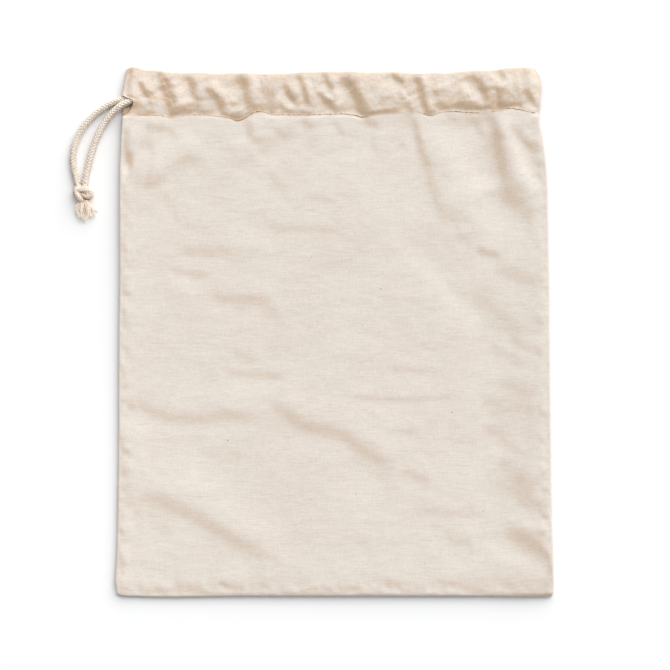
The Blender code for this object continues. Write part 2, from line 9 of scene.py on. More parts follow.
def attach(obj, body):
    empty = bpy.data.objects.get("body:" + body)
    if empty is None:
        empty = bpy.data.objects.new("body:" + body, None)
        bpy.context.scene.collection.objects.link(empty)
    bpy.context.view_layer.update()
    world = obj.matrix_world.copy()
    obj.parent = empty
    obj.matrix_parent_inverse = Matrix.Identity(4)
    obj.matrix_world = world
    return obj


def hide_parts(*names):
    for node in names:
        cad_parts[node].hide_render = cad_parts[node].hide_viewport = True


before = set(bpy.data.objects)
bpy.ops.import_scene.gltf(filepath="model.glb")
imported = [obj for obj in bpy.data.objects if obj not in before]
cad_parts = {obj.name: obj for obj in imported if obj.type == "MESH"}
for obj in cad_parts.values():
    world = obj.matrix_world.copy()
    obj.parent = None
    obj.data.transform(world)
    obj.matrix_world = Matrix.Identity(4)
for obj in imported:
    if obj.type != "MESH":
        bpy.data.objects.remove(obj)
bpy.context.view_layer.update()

mm = 0.001  # every size below is in millimetres, and this turns it to metres

# the pieces go in one collection
bagCollection = bpy.data.collections.new("Drawstring bread bag")
bpy.context.scene.collection.children.link(bagCollection)


def hexToLinear(code):
    channels = [int(code[i:i + 2], 16) / 255 for i in (0, 2, 4)]
    return [c / 12.92 if c <= 0.04045 else ((c + 0.055) / 1.055) ** 2.4 for c in channels] + [1.0]


def addNode(tree, kind, settings, inputs):
    node = tree.nodes.new(kind)
    for name, value in settings.items():
        setattr(node, name, value)
    for name, value in inputs.items():
        if isinstance(value, bpy.types.NodeSocket):
            tree.links.new(value, node.inputs[name])
        else:
            node.inputs[name].default_value = value
    return node


def ease(t):
    t = np.clip(t, 0.0, 1.0)
    return t * t * (3.0 - 2.0 * t)


def alongTable(rows, column, at):
    # smooth reading of a table whose first column is the place: a cubic through its values
    places = np.array([row[0] for row in rows])
    values = np.array([row[column] for row in rows])
    slopes = np.gradient(values, places)
    i = np.clip(np.searchsorted(places, at) - 1, 0, len(places) - 2)
    run = places[i + 1] - places[i]
    t = np.clip((at - places[i]) / run, 0.0, 1.0)
    return (
        (2 * t**3 - 3 * t**2 + 1) * values[i]
        + (t**3 - 2 * t**2 + t) * run * slopes[i]
        + (3 * t**2 - 2 * t**3) * values[i + 1]
        + (t**3 - t**2) * run * slopes[i + 1]
    )


def smoothLine(points, spacing):
    # points every so many millimetres along a smooth curve through the given ones
    marks = [np.array(point, float) for point in points]
    marks = [2 * marks[0] - marks[1]] + marks + [2 * marks[-1] - marks[-2]]
    dense = []
    steps = 24
    for before, start, end, after in zip(marks, marks[1:], marks[2:], marks[3:]):
        for step in range(steps):
            t = step / steps
            dense.append((
                2 * start + (end - before) * t
                + (2 * before - 5 * start + 4 * end - after) * t**2
                + (3 * start - before - 3 * end + after) * t**3
            ) / 2)
    dense = np.array(dense + [marks[-2]])
    run = np.concatenate([[0.0], np.cumsum(np.linalg.norm(np.diff(dense, axis=0), axis=1))])
    count = max(2, int(round(run[-1] / spacing)) + 1)
    wanted = np.linspace(0.0, run[-1], count)
    return np.stack([np.interp(wanted, run, dense[:, k]) for k in range(dense.shape[1])], axis=1)


def meshPiece(name, points, faces, material):
    mesh = bpy.data.meshes.new(name)
    mesh.from_pydata((np.asarray(points) * mm).tolist(), [], faces)
    mesh.materials.append(material)
    mesh.shade_smooth()
    piece = bpy.data.objects.new(name, mesh)
    bagCollection.objects.link(piece)
    return piece


def onBag(piece, slotName, *nodes):
    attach(piece, "root")
    if nodes:
        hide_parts(*nodes)


# camera, straight above, with a long lens
cameraLook = {
    "centre": (0.9, -1.7),   # mm, what the middle of the frame looks at
    "distance": 2600.0,      # mm
    "frameWidth": 462.0,     # mm of the surface across the frame
    "sensor": 36.0,          # mm
    "farthest": 20.0,        # m, nothing is drawn beyond
}
cameraData = bpy.data.cameras.new("camera")
cameraData.sensor_width = cameraLook["sensor"]
cameraData.lens = cameraLook["sensor"] * cameraLook["distance"] / cameraLook["frameWidth"]
cameraData.clip_end = cameraLook["farthest"]
camera = bpy.data.objects.new("camera", cameraData)
camera.location = Vector((*cameraLook["centre"], cameraLook["distance"])) * mm
bpy.context.scene.collection.objects.link(camera)
bpy.context.scene.camera = camera
print("camera made")


# materials
threadLook = {
    # soft noise. Columns: size along x and along y in mm, detail, place in the noise.
    # The real threads lie 0.45 mm apart, too fine to show, so they are drawn 1 mm apart
    "patterns": {
        "weft": (9.0, 1.0, 2.0, 3.1),          # a thread keeps its thickness for about 9 mm
        "warp": (1.0, 4.5, 2.0, 7.7),
        "grain": (1.3, 1.0, 1.0, 17.3),        # where the threads cross
        "slubs": (16.0, 1.2, 2.0, 12.4),       # thick places in a weft thread
        "crumples": (10.5, 7.0, 3.0, 21.5),    # small ones, left by packing
        "pinches": (2.6, 4.2, 2.0, 5.9),       # between the gathers of the casing
        "warmPatches": (42.0, 30.0, 3.0, 1.3),
        "strawPatches": (26.0, 16.0, 2.0, 9.2),
    },
    "noiseRoughness": 0.55,
    "overWeft": (("warp", 0.55), ("grain", 0.8)),   # how much these add to the weft
    # Columns: what is read, from and to which value of it, and what that becomes
    "ranges": {
        "warmShare": ("warmPatches", 0.42, 0.66, 0.0, 0.75),
        "strawShare": ("strawPatches", 0.5, 0.72, 0.0, 0.5),
        "leftPaintedLight": ("x", -150.0, -70.0, 1.025, 1.0),      # painted light: paler towards the left seam
        "rightPaintedShade": ("x", 98.0, 146.0, 1.0, 0.978),      # painted shade: a little darker at the right one
        "threadShade": ("threads", 0.8, 1.55, 0.92, 1.05),
        "slubShade": ("slubs", 0.6, 0.76, 1.0, 0.9),
        "casingCrumples": ("y", 149.0, 156.0, 1.0, 2.6),    # times as deep in the gathered casing
        "casingPinches": ("y", 149.0, 153.0, 0.0, 4.0),
    },
    "threadRelief": 0.035,    # mm
    "crumpleRelief": 0.12,    # mm
    "surface": {
        "Roughness": 0.92,            # cotton has no highlight at all
        "IOR": 1.5,
        "Specular IOR Level": 0.2,
        "Sheen Weight": 0.12,         # the fuzz of loose fibres
        "Sheen Roughness": 0.5,
    },
}
clothColours = {
    "pale": "DFD6CC",
    "warm": "DED3C9",
    "straw": "DDD5CA",
    "fold": "FFEAD3",     # painted shade: light that has bounced about in a fold comes out browner
}


def wovenCloth(name, colours, look):
    # unbleached cotton in plain weave, washed: matt, faintly fuzzy, streaked along the weft
    material = bpy.data.materials.new(name)
    material.use_nodes = True
    tree = material.node_tree
    surface = tree.nodes["Principled BSDF"]
    place = addNode(tree, "ShaderNodeTexCoord", {}, {})
    sized = addNode(tree, "ShaderNodeVectorMath", {"operation": "SCALE"},
                    {0: place.outputs["Object"], "Scale": 1 / mm})
    axes = addNode(tree, "ShaderNodeSeparateXYZ", {}, {0: sized.outputs[0]})
    values = {"x": axes.outputs[0], "y": axes.outputs[1]}
    for use, (sizeX, sizeY, detail, start) in look["patterns"].items():
        scaled = addNode(tree, "ShaderNodeMapping", {}, {
            "Vector": sized.outputs[0],
            "Location": (start, start * 0.7, start * 0.3),
            "Scale": (1 / sizeX, 1 / sizeY, 1 / sizeY),
        })
        values[use] = addNode(tree, "ShaderNodeTexNoise", {}, {
            "Vector": scaled.outputs[0], "Scale": 1.0, "Detail": detail, "Roughness": look["noiseRoughness"],
        }).outputs["Fac"]
    values["threads"] = values["weft"]
    for use, share in look["overWeft"]:
        values["threads"] = addNode(tree, "ShaderNodeMath", {"operation": "MULTIPLY_ADD"}, {
            0: values[use], 1: share, 2: values["threads"],
        }).outputs[0]
    for use, (source, low, high, first, last) in look["ranges"].items():
        values[use] = addNode(tree, "ShaderNodeMapRange", {"interpolation_type": "SMOOTHSTEP"}, {
            "Value": values[source], "From Min": low, "From Max": high, "To Min": first, "To Max": last,
        }).outputs["Result"]

    # inputs 6 and 7 of a colour Mix are its two colours, and output 2 is the result
    colour = hexToLinear(colours["pale"])
    for share, other in (("warmShare", "warm"), ("strawShare", "straw")):
        colour = addNode(tree, "ShaderNodeMix", {"data_type": "RGBA"}, {
            0: values[share], 6: colour, 7: hexToLinear(colours[other]),
        }).outputs[2]
    # painted light at the left and painted shade at the right, then the threads' own shading
    for factor in ("leftPaintedLight", "rightPaintedShade", "threadShade", "slubShade"):
        colour = addNode(tree, "ShaderNodeVectorMath", {"operation": "SCALE"}, {
            0: colour, "Scale": values[factor],
        }).outputs[0]
    # painted shade: the attribute multiplies the colour towards the fold colour
    tone = addNode(tree, "ShaderNodeAttribute", {"attribute_name": "toneAndPaintedShade"}, {})
    colour = addNode(tree, "ShaderNodeMix", {"data_type": "RGBA", "blend_type": "MULTIPLY"}, {
        0: tone.outputs["Fac"], 6: colour, 7: hexToLinear(colours["fold"]),
    }).outputs[2]

    crumples = addNode(tree, "ShaderNodeMath", {"operation": "MULTIPLY"}, {
        0: values["crumples"], 1: values["casingCrumples"],
    })
    pinched = addNode(tree, "ShaderNodeMath", {"operation": "MULTIPLY_ADD"}, {
        0: values["pinches"], 1: values["casingPinches"], 2: crumples.outputs[0],
    })
    weave = addNode(tree, "ShaderNodeBump", {}, {
        "Height": values["threads"], "Strength": 1.0, "Distance": look["threadRelief"] * mm,
    })
    crumpled = addNode(tree, "ShaderNodeBump", {}, {
        "Height": pinched.outputs[0], "Strength": 1.0, "Distance": look["crumpleRelief"] * mm,
        "Normal": weave.outputs[0],
    })
    tree.links.new(colour, surface.inputs["Base Color"])
    tree.links.new(crumpled.outputs[0], surface.inputs["Normal"])
    for socket, value in look["surface"].items():
        surface.inputs[socket].default_value = value
    return material


yarnLook = {
    "streakDetail": 3.0,
    "streakShare": 0.35,      # how far a streak goes from pale to dark
    "surface": {
        "Roughness": 0.88,
        "Specular IOR Level": 0.2,
        "Sheen Weight": 0.15,
    },
}


def spunCotton(name, pale, dark, grain, relief, glow=0.0):
    # spun cotton yarn: matt, its fibres show as fine streaks, grain mm wide and relief mm high,
    # and the tone attribute darkens it, partly as its own tone and partly as painted shade down between the
    # yarns. The glow is painted light, standing for light that passes through thin ones
    material = bpy.data.materials.new(name)
    material.use_nodes = True
    tree = material.node_tree
    surface = tree.nodes["Principled BSDF"]
    place = addNode(tree, "ShaderNodeTexCoord", {}, {})
    streaks = addNode(tree, "ShaderNodeTexNoise", {}, {
        "Vector": place.outputs["Object"], "Scale": 1 / (grain * mm), "Detail": yarnLook["streakDetail"],
    })
    hollow = addNode(tree, "ShaderNodeAttribute", {"attribute_name": "toneAndPaintedShade"}, {})
    share = addNode(tree, "ShaderNodeMath", {"operation": "MULTIPLY_ADD", "use_clamp": True}, {
        0: streaks.outputs["Fac"], 1: yarnLook["streakShare"], 2: hollow.outputs["Fac"],
    })
    colour = addNode(tree, "ShaderNodeMix", {"data_type": "RGBA"}, {
        0: share.outputs[0], 6: hexToLinear(pale), 7: hexToLinear(dark),
    })
    bump = addNode(tree, "ShaderNodeBump", {}, {
        "Height": streaks.outputs["Fac"], "Strength": 1.0, "Distance": relief * mm,
    })
    tree.links.new(colour.outputs[2], surface.inputs["Base Color"])
    tree.links.new(colour.outputs[2], surface.inputs["Emission Color"])
    tree.links.new(bump.outputs[0], surface.inputs["Normal"])
    for socket, value in yarnLook["surface"].items():
        surface.inputs[socket].default_value = value
    surface.inputs["Emission Strength"].default_value = glow
    return material


clothFace = wovenCloth("unbleached plain-woven cotton", clothColours, threadLook)
braidedCotton = spunCotton("braided cotton cord", pale="FAF3E9", dark="B08A66", grain=0.5, relief=0.06)
# the frayed yarn glows a little: painted light, for light passing through it
frayedCotton = spunCotton("frayed cotton yarn", pale="FFF8EF", dark="D6B28C", grain=0.7, relief=0.04,
                          glow=0.13)
sewingThread = spunCotton("cotton sewing thread", pale="E6DCD0", dark="94714F", grain=0.4, relief=0.02)
seedHusk = spunCotton("cotton seed husk", pale="4A3A2C", dark="C8B49C", grain=0.3, relief=0.02)
print("materials made")


# floor and light; the cord and the cloth use the light's heading to tone their shaded sides
stageLook = {
    "floor": "F7F7F7",
    "floorRoughness": 0.9,
    "floorGloss": 0.1,
    "floorReach": 4000.0,    # mm from the middle to each side
    "keyStrength": 3.63,
    "keySpread": 76.0,       # degrees across, as of a large softbox
    "keyHeading": 63.0,      # degrees from the right-hand side towards the top of the bag
    "keyElevation": 36.0,
    "keyColour": "FFFDFA",
    "keyDistance": 2.0,      # m
    "fillColour": "F6FAFF",
    "fillStrength": 0.446,
}
keyHeading = math.radians(stageLook["keyHeading"])


# the drawcord: its two tails, and the run inside the casing
cordLook = {
    "radius": 2.55,
    "carriers": 6,         # strands each way round
    "turn": 13.0,          # length of cord in which a strand goes once round
    "strandWidth": 0.7,    # half the width of a strand
    "strandThick": 0.5,
    "weaveDepth": 0.22,    # how far a strand rises over the ones that it crosses
    "coreShare": 0.93,     # the core's radius, as a share of the strands' middle
    "coreSides": 10,
    "uneven": 0.12,        # how far a strand strays in or out
    "unevenRun": 1.6,      # and over what length
    "step": 0.6,
    "sides": 6,
    # tones, 0 pale and 1 dark: of all, of a strand that dives (painted shade), of an uneven one, of the side
    # in shade (painted shade)
    "tone": 0.2,
    "diveTone": 0.35,
    "unevenTone": 0.4,
    "shadeTone": 0.55,
    "darkest": 1.2,
}
innerLook = {
    "radius": 1.5,         # it isn't seen, so it is only as thick as it needs to be
    "step": 2.5,
    "sides": 12,
    "tone": 0.15,
    "braidedSteps": 5,     # at each end, where it meets a tail
}
# the route, from the knot's first tail round the bag to its second
upperTailRoute = [
    (-176.5, 102.3, 2.5), (-177.4, 106.5, 2.5), (-179.4, 115.0, 2.5), (-179.4, 124.4, 2.5),
    (-176.2, 134.8, 2.5), (-170.0, 144.6, 2.5), (-161.2, 152.9, 2.7), (-152.2, 158.4, 3.1),
    (-142.4, 161.3, 3.3),
]
channelRoute = [
    (-142.4, 161.3, 3.3), (-135.0, 164.0, 2.9), (-127.0, 167.0, 2.55), (-110.0, 168.6, 2.6),
    (-85.0, 167.8, 2.6), (-60.0, 168.4, 2.6), (-35.0, 168.2, 2.6), (-10.0, 168.0, 2.6),
    (15.0, 167.4, 2.6), (40.0, 168.2, 2.6), (65.0, 169.6, 2.6), (88.0, 170.2, 2.6),
    (106.0, 172.0, 2.6), (119.0, 173.0, 2.6), (126.6, 170.8, 2.6), (129.6, 166.0, 2.6),
    (126.6, 161.2, 3.2), (119.0, 159.4, 4.2), (106.0, 159.2, 4.2), (88.0, 158.6, 4.2),
    (65.0, 158.6, 4.2), (40.0, 157.6, 4.2), (15.0, 156.4, 4.2), (-10.0, 156.8, 4.2),
    (-35.0, 157.0, 4.2), (-60.0, 157.0, 4.2), (-85.0, 156.6, 4.2), (-110.0, 156.8, 4.2),
    (-127.0, 158.4, 4.4), (-139.0, 160.2, 5.1),
]
lowerTailRoute = [
    (-139.0, 160.2, 5.1), (-145.8, 156.7, 5.4), (-152.2, 151.2, 4.4), (-158.0, 143.6, 3.2),
    (-162.8, 134.8, 2.6), (-166.2, 125.4, 2.5), (-168.6, 116.2, 2.5), (-170.6, 107.4, 2.5),
    (-171.2, 102.3, 2.5),
]


def framesAlong(line):
    # the direction at each point, and two axes square to it that don't twist on the way
    along = np.gradient(line, axis=0)
    along /= np.linalg.norm(along, axis=1)[:, None]
    side = np.cross(along[0], (0.0, 0.0, 1.0))
    side /= np.linalg.norm(side)
    sides = []
    for direction in along:
        side = side - direction * side.dot(direction)
        side /= np.linalg.norm(side)
        sides.append(side)
    sides = np.array(sides)
    return along, sides, np.cross(along, sides)


def addTube(points, faces, tones, centres, across, up, width, thick, sides, tone):
    # one closed tube of elliptic section, added to the lists
    first = len(points)
    for centre, a, b, w, t, shade in zip(centres, across, up, width, thick, tone):
        for k in range(sides):
            turn = 2 * math.pi * k / sides
            points.append(centre + a * w * math.cos(turn) + b * t * math.sin(turn))
            tones.append(shade)
    rings = len(centres)
    for ring in range(rings - 1):
        for k in range(sides):
            here = first + ring * sides
            after = (k + 1) % sides
            faces.append((here + k, here + after, here + sides + after, here + sides + k))
    faces.append(tuple(first + k for k in reversed(range(sides))))
    faces.append(tuple(first + (rings - 1) * sides + k for k in range(sides)))


def braid(points, faces, tones, route, look, squeeze=1.0):
    # a core, and two sets of strands that wind opposite ways and pass over and under by twos
    line = smoothLine(route, look["step"])
    along, side, up = framesAlong(line)
    run = np.concatenate([[0.0], np.cumsum(np.linalg.norm(np.diff(line, axis=0), axis=1))])
    count = look["carriers"]
    middle = (look["radius"] - look["strandThick"] - look["weaveDepth"]) * squeeze
    ones = np.ones(len(line))
    core = ones[::2] * middle * look["coreShare"]
    # the core is painted fully dark, as painted shade in the gaps between the strands
    addTube(points, faces, tones, line[::2], side[::2], up[::2], core, core, look["coreSides"], ones[::2])
    crossing = run * 2 * count / look["turn"]
    slope = math.atan(2 * math.pi * middle / look["turn"])
    for way in (1, -1):
        for k in range(count):
            turn = way * 2 * math.pi * run / look["turn"] + 2 * math.pi * k / count
            phase = 2 * k + way * crossing - 0.5
            lift = way * np.cos(math.pi / 2 * phase)
            out = side * np.cos(turn)[:, None] + up * np.sin(turn)[:, None]
            around = up * np.cos(turn)[:, None] - side * np.sin(turn)[:, None]
            across = around * math.cos(slope) - way * along * math.sin(slope)
            # each strand has its own row in the noise
            uneven = np.array([
                noise.noise(Vector((at / look["unevenRun"], k * 3.1, way * 5.3))) for at in run
            ])
            radius = middle + lift * look["weaveDepth"] * squeeze + look["uneven"] * uneven
            # painted shade on strands that dive and on the side turned from the light
            shaded = -(out[:, 0] * math.cos(keyHeading) + out[:, 1] * math.sin(keyHeading))
            tone = look["tone"] - look["diveTone"] * lift + look["unevenTone"] * uneven
            tone = tone + look["shadeTone"] * np.clip(shaded, 0.0, 1.0)
            addTube(points, faces, tones, line + out * radius[:, None], across, out,
                    ones * look["strandWidth"] * squeeze, ones * look["strandThick"] * squeeze,
                    look["sides"], np.clip(tone, 0.0, look["darkest"]))
    return line


def tonedPiece(name, points, faces, tones, material):
    piece = meshPiece(name, points, faces, material)
    # the attribute holds painted shade, together with each piece's own tone
    shade = piece.data.attributes.new("toneAndPaintedShade", "FLOAT", "POINT")
    shade.data.foreach_set("value", np.asarray(tones, float).ravel())
    return piece


def makeTail(name, route):
    points, faces, tones = [], [], []
    line = braid(points, faces, tones, route, cordLook)
    piece = tonedPiece(name, points, faces, tones, braidedCotton)
    onBag(piece, "cord", "drawcord")
    return piece, line


def makeInnerCord():
    # it lies inside the casing, where only its ends can be seen, so the rest has no braid
    look = innerLook
    line = smoothLine(channelRoute, look["step"])
    _, side, up = framesAlong(line)
    points, faces, tones = [], [], []
    ones = np.ones(len(line))
    addTube(points, faces, tones, line, side, up, ones * look["radius"], ones * look["radius"],
            look["sides"], ones * look["tone"])
    for part in (line[:look["braidedSteps"]], line[-look["braidedSteps"]:]):
        braid(points, faces, tones, [tuple(point) for point in part], cordLook)
    piece = tonedPiece("innerCord", points, faces, tones, braidedCotton)
    onBag(piece, "cord", "drawcord")


upperTail, upperLine = makeTail("upperTail", upperTailRoute)
lowerTail, lowerLine = makeTail("lowerTail", lowerTailRoute)
makeInnerCord()
print("drawcord made")


# the knot, and the ends frayed out below it
knotLook = {
    # over the top, round at the right and back to the middle
    "overTurn": [
        (-177.6, 96.4, 3.0), (-175.8, 98.0, 4.4), (-172.6, 98.3, 5.1), (-169.6, 97.8, 5.3),
        (-167.1, 95.9, 5.1), (-167.9, 93.6, 5.0), (-170.4, 93.5, 5.0), (-172.8, 94.4, 4.2),
        (-174.8, 95.2, 3.0),
    ],
    # down the left side and under the first
    "underTurn": [
        (-176.4, 99.2, 3.0), (-177.2, 97.0, 4.2), (-176.6, 94.6, 5.2), (-174.9, 92.4, 5.3),
        (-172.8, 90.6, 4.4), (-171.2, 88.8, 3.2),
    ],
    # what fills the middle
    "fill": [(-175.6, 96.8, 3.2), (-172.8, 96.2, 3.2), (-170.4, 95.9, 4.8), (-168.2, 95.4, 5.0)],
    # the tails on their way in
    "stubs": [
        [(-176.45, 102.1, 2.5), (-175.8, 98.8, 2.8), (-173.8, 96.4, 3.0)],
        [(-171.2, 102.1, 2.5), (-171.4, 98.8, 2.8), (-171.4, 96.0, 3.0)],
    ],
    # little light gets down between the turns. Columns: x, y, reach
    "hollows": [
        (-171.4, 96.2, 1.2), (-173.6, 94.0, 1.2), (-172.6, 92.6, 1.2), (-171.2, 91.4, 1.2),
        (-169.8, 90.4, 1.2), (-178.4, 96.0, 2.0),
    ],
    "hollowTone": 0.9,
    "hollowFloor": 4.6,    # mm above the surface, below which a hollow is at its darkest
    "hollowRise": 3.2,     # and over this height it fades out
    "squeeze": 0.95,       # the cord is pulled thinner here
    # and its strands are pressed flat and close
    "cord": dict(cordLook, carriers=8, strandWidth=0.56, weaveDepth=0.2),
}


def makeKnot():
    look = knotLook
    points, faces, tones = [], [], []
    for route in (look["overTurn"], look["underTurn"], look["fill"]):
        braid(points, faces, tones, route, look["cord"], look["squeeze"])
    for route in look["stubs"]:
        braid(points, faces, tones, route, cordLook)
    for x, y, reach in look["hollows"]:
        for k, point in enumerate(points):
            deep = 1 - ease((point[2] - look["hollowFloor"]) / look["hollowRise"])
            away = ((point[0] - x) ** 2 + (point[1] - y) ** 2) / reach**2
            tones[k] += look["hollowTone"] * deep * math.exp(-away)
    piece = tonedPiece("overhandKnot", points, faces, tones, braidedCotton)
    onBag(piece, "cord", "knot")
    return piece


frayLook = {
    "root": (-171.8, 91.0),          # where the ends leave the knot
    "rootWidth": 4.4,
    "directions": (-112.0, -60.0),   # degrees, of the first and the last lock
    "length": 14.4,
    "lengthSpread": (0.84, 1.06),
    "locks": 16,
    "turnSpread": 7,                 # degrees, how far a lock strays from its direction
    "yarns": 4,                      # in a lock
    "yarnRadius": 0.29,
    "spread": 0.85,                  # how far a lock's yarns stand apart
    "bend": 3.2,                     # the outer locks bow outwards
    "bendSpread": 2.6,
    "curl": 0.7,
    "spin": 3.2,                     # radians that a yarn turns round its lock
    "waves": (0.5, 0.4),             # how far a yarn strays along x and y
    "lockSteps": 6,
    "yarnSteps": 8,
    "lockHeights": (1.4, 2.0, 0.7),  # at a lock's end, more at its root, and more in each layer
    "layers": 3,
    "sides": 5,
    "lowest": 0.3,
    "yarnStep": 0.8,
    "rootPaintedShade": 0.35,                # painted shade: darker where they leave the knot
    "toneSpread": 0.35,
    # a tuft that stands off to the right
    "strayTuft": [(-169.4, 90.4, 2.8), (-167.0, 87.6, 2.6), (-164.6, 85.2, 1.8), (-162.4, 82.6, 1.0)],
    "strayYarns": 5,
    "straySpread": 0.6,
    "strayRadius": 0.22,
}


def makeFray():
    rng = random.Random(11)
    points, faces, tones = [], [], []
    look = frayLook
    fullTurn = 6.28
    waveX, waveY = look["waves"]

    def addLock(centre, spread, yarns, radius):
        # yarns that run round a lock's middle line and loosen towards its end
        twist = rng.uniform(0, fullTurn)
        wave = rng.uniform(0, fullTurn)
        for yarn in range(yarns):
            turn = twist + 2 * math.pi * yarn / yarns
            ring = spread * rng.uniform(0.5, 1.0)
            own = rng.uniform(0.84, 1.0)
            last = len(centre) - 1
            route = []
            for step in range(look["yarnSteps"]):
                t = own * step / (look["yarnSteps"] - 1)
                place = t * last
                k = min(int(place), last - 1)
                x, y, z = centre[k] + (centre[k + 1] - centre[k]) * (place - k)
                apart = ring * (0.5 + 0.6 * math.sin(math.pi * min(t, 0.8)))
                spin = turn + look["spin"] * t
                x += apart * math.cos(spin) + waveX * math.sin(wave + 6.5 * t + yarn) * t
                y += waveY * math.cos(wave + 5.0 * t + 2 * yarn) * t
                z += apart * math.sin(spin)
                route.append((x, y, max(z, look["lowest"])))
            line = smoothLine(route, look["yarnStep"])
            line[:, 2] = np.maximum(line[:, 2], look["lowest"])
            _, side, up = framesAlong(line)
            share = np.linspace(0, 1, len(line))
            thick = radius * (1 - 0.5 * share**4) * rng.uniform(0.85, 1.2)
            # painted shade near the root, plus some own tone at random
            tone = look["rootPaintedShade"] * (1 - share) ** 3 + rng.uniform(-look["toneSpread"], look["toneSpread"])
            addTube(points, faces, tones, line, side, up, thick, thick, look["sides"], tone)

    low, atRoot, perLayer = look["lockHeights"]
    first, last = look["directions"]
    for lock in range(look["locks"]):
        share = lock / (look["locks"] - 1)
        stray = rng.uniform(-look["turnSpread"], look["turnSpread"])
        angle = math.radians(first + (last - first) * share + stray)
        # the middle locks are the longest
        length = look["length"] * (0.8 + 0.2 * math.sin(math.pi * share)) * rng.uniform(*look["lengthSpread"])
        layer = lock % look["layers"]
        x, y = look["root"][0] + look["rootWidth"] * (share - 0.5), look["root"][1]
        bend = look["bend"] * (share - 0.5) + rng.uniform(-look["bendSpread"], look["bendSpread"])
        curl = rng.uniform(0, fullTurn)
        centre = []
        for step in range(look["lockSteps"]):
            t = step / (look["lockSteps"] - 1)
            centre.append(np.array((
                x + math.cos(angle) * length * t + bend * math.sin(math.pi * t) * 0.6
                + look["curl"] * math.sin(curl + 7.0 * t) * t,
                y + math.sin(angle) * length * t,
                low + atRoot * (1 - t) ** 1.2
                + layer * perLayer * (1 + math.sin(math.pi * min(1, t + 0.2))),
            )))
        addLock(centre, look["spread"], look["yarns"], look["yarnRadius"])
    tuft = [np.array(point) for point in look["strayTuft"]]
    addLock(tuft, look["straySpread"], look["strayYarns"], look["strayRadius"])
    piece = tonedPiece("frayedEnds", points, faces, tones, frayedCotton)
    onBag(piece, "cord", "knot")
    return piece


overhandKnot = makeKnot()
frayedEnds = makeFray()
print("knot and frayed ends made")


# the two panels, and where their edges lie
# left and right edge. Columns: y, left x, right x
sideRows = [
    (-182.0, -147.0, 150.0), (-180.0, -149.0, 150.9), (-177.0, -149.5, 151.1), (-172.0, -150.4, 151.5),
    (-165.0, -150.2, 151.2), (-155.0, -149.6, 151.0), (-140.0, -149.1, 150.4), (-120.0, -148.7, 149.9),
    (-95.0, -148.3, 149.5), (-65.0, -148.1, 149.1), (-30.0, -148.1, 148.7), (0.0, -147.9, 148.4),
    (30.0, -147.5, 148.2), (60.0, -147.5, 147.7), (85.0, -147.6, 147.2), (105.0, -147.5, 146.9),
    (115.0, -147.3, 146.2), (125.0, -146.9, 145.0), (135.0, -146.5, 143.6), (142.0, -146.0, 142.2),
    (149.0, -145.6, 141.3), (155.0, -145.3, 142.0), (162.0, -144.8, 142.2), (170.0, -144.1, 142.9),
    (176.0, -143.2, 141.8), (182.0, -142.2, 140.2),
]
# the front's left edge draws back where the cord comes out. Columns: y, x, height
slotRows = [
    (146.0, -145.8, 1.9), (148.6, -145.5, 2.3), (149.8, -143.8, 2.6), (151.0, -142.0, 3.1),
    (152.8, -140.3, 3.9), (154.6, -139.2, 4.9), (156.4, -138.4, 6.2), (158.4, -138.0, 7.5),
    (160.0, -138.4, 8.0), (161.0, -140.4, 7.8), (161.8, -142.9, 7.1), (162.8, -145.0, 6.2),
    (165.4, -145.0, 4.7), (170.0, -144.3, 3.2), (178.0, -142.9, 2.0),
]
# the top fold. Columns: x, y
topRows = [
    (-143.8, 176.8), (-142.6, 180.8), (-140.5, 182.1), (-137.0, 182.5), (-134.0, 181.9), (-130.0, 180.4),
    (-124.0, 180.2), (-119.0, 179.7), (-114.0, 178.7), (-106.0, 178.4), (-96.0, 178.5), (-88.0, 178.2),
    (-78.0, 177.8), (-68.0, 178.3), (-58.0, 178.0), (-50.0, 177.6), (-40.0, 177.7), (-30.0, 178.1),
    (-22.0, 178.7), (-12.0, 179.1), (0.0, 179.3), (10.0, 179.2), (20.0, 178.6), (30.0, 178.6),
    (38.0, 179.0), (44.0, 178.8), (52.0, 178.3), (60.0, 177.9), (68.0, 178.4), (78.0, 178.2),
    (86.0, 179.0), (96.0, 179.8), (106.0, 179.9), (112.0, 180.4), (117.0, 181.3), (124.0, 181.6),
    (130.0, 182.1), (135.0, 181.9), (139.0, 180.6), (141.6, 176.8),
]
# the row of stitches. Columns: x, y
stitchRows = [
    (-146.0, 150.2), (-137.0, 150.0), (-120.0, 149.6), (-112.0, 148.4), (-104.0, 149.6), (-90.0, 150.0),
    (-80.0, 149.2), (-72.0, 148.0), (-66.0, 146.0), (-61.0, 147.8), (-55.0, 151.4), (-50.0, 152.4),
    (-44.0, 150.8), (-30.0, 150.0), (-4.0, 150.4), (14.0, 150.0), (20.0, 148.4), (26.0, 150.0),
    (34.0, 151.4), (44.0, 151.8), (57.0, 152.0), (62.0, 150.8), (66.0, 149.4), (72.0, 151.4),
    (84.0, 152.2), (96.0, 151.4), (108.0, 152.0), (116.0, 154.0), (126.0, 154.0), (133.0, 152.4),
    (139.0, 151.4), (142.0, 151.4),
]
# the bottom seam. Columns: x, y
bottomRows = [
    (-151.5, -177.0), (-148.8, -179.8), (-145.0, -180.9), (-135.0, -181.4), (-60.0, -181.2), (0.0, -181.2),
    (60.0, -181.2), (120.0, -181.4), (138.0, -181.7), (146.0, -181.9), (150.0, -181.6), (152.8, -180.2),
]

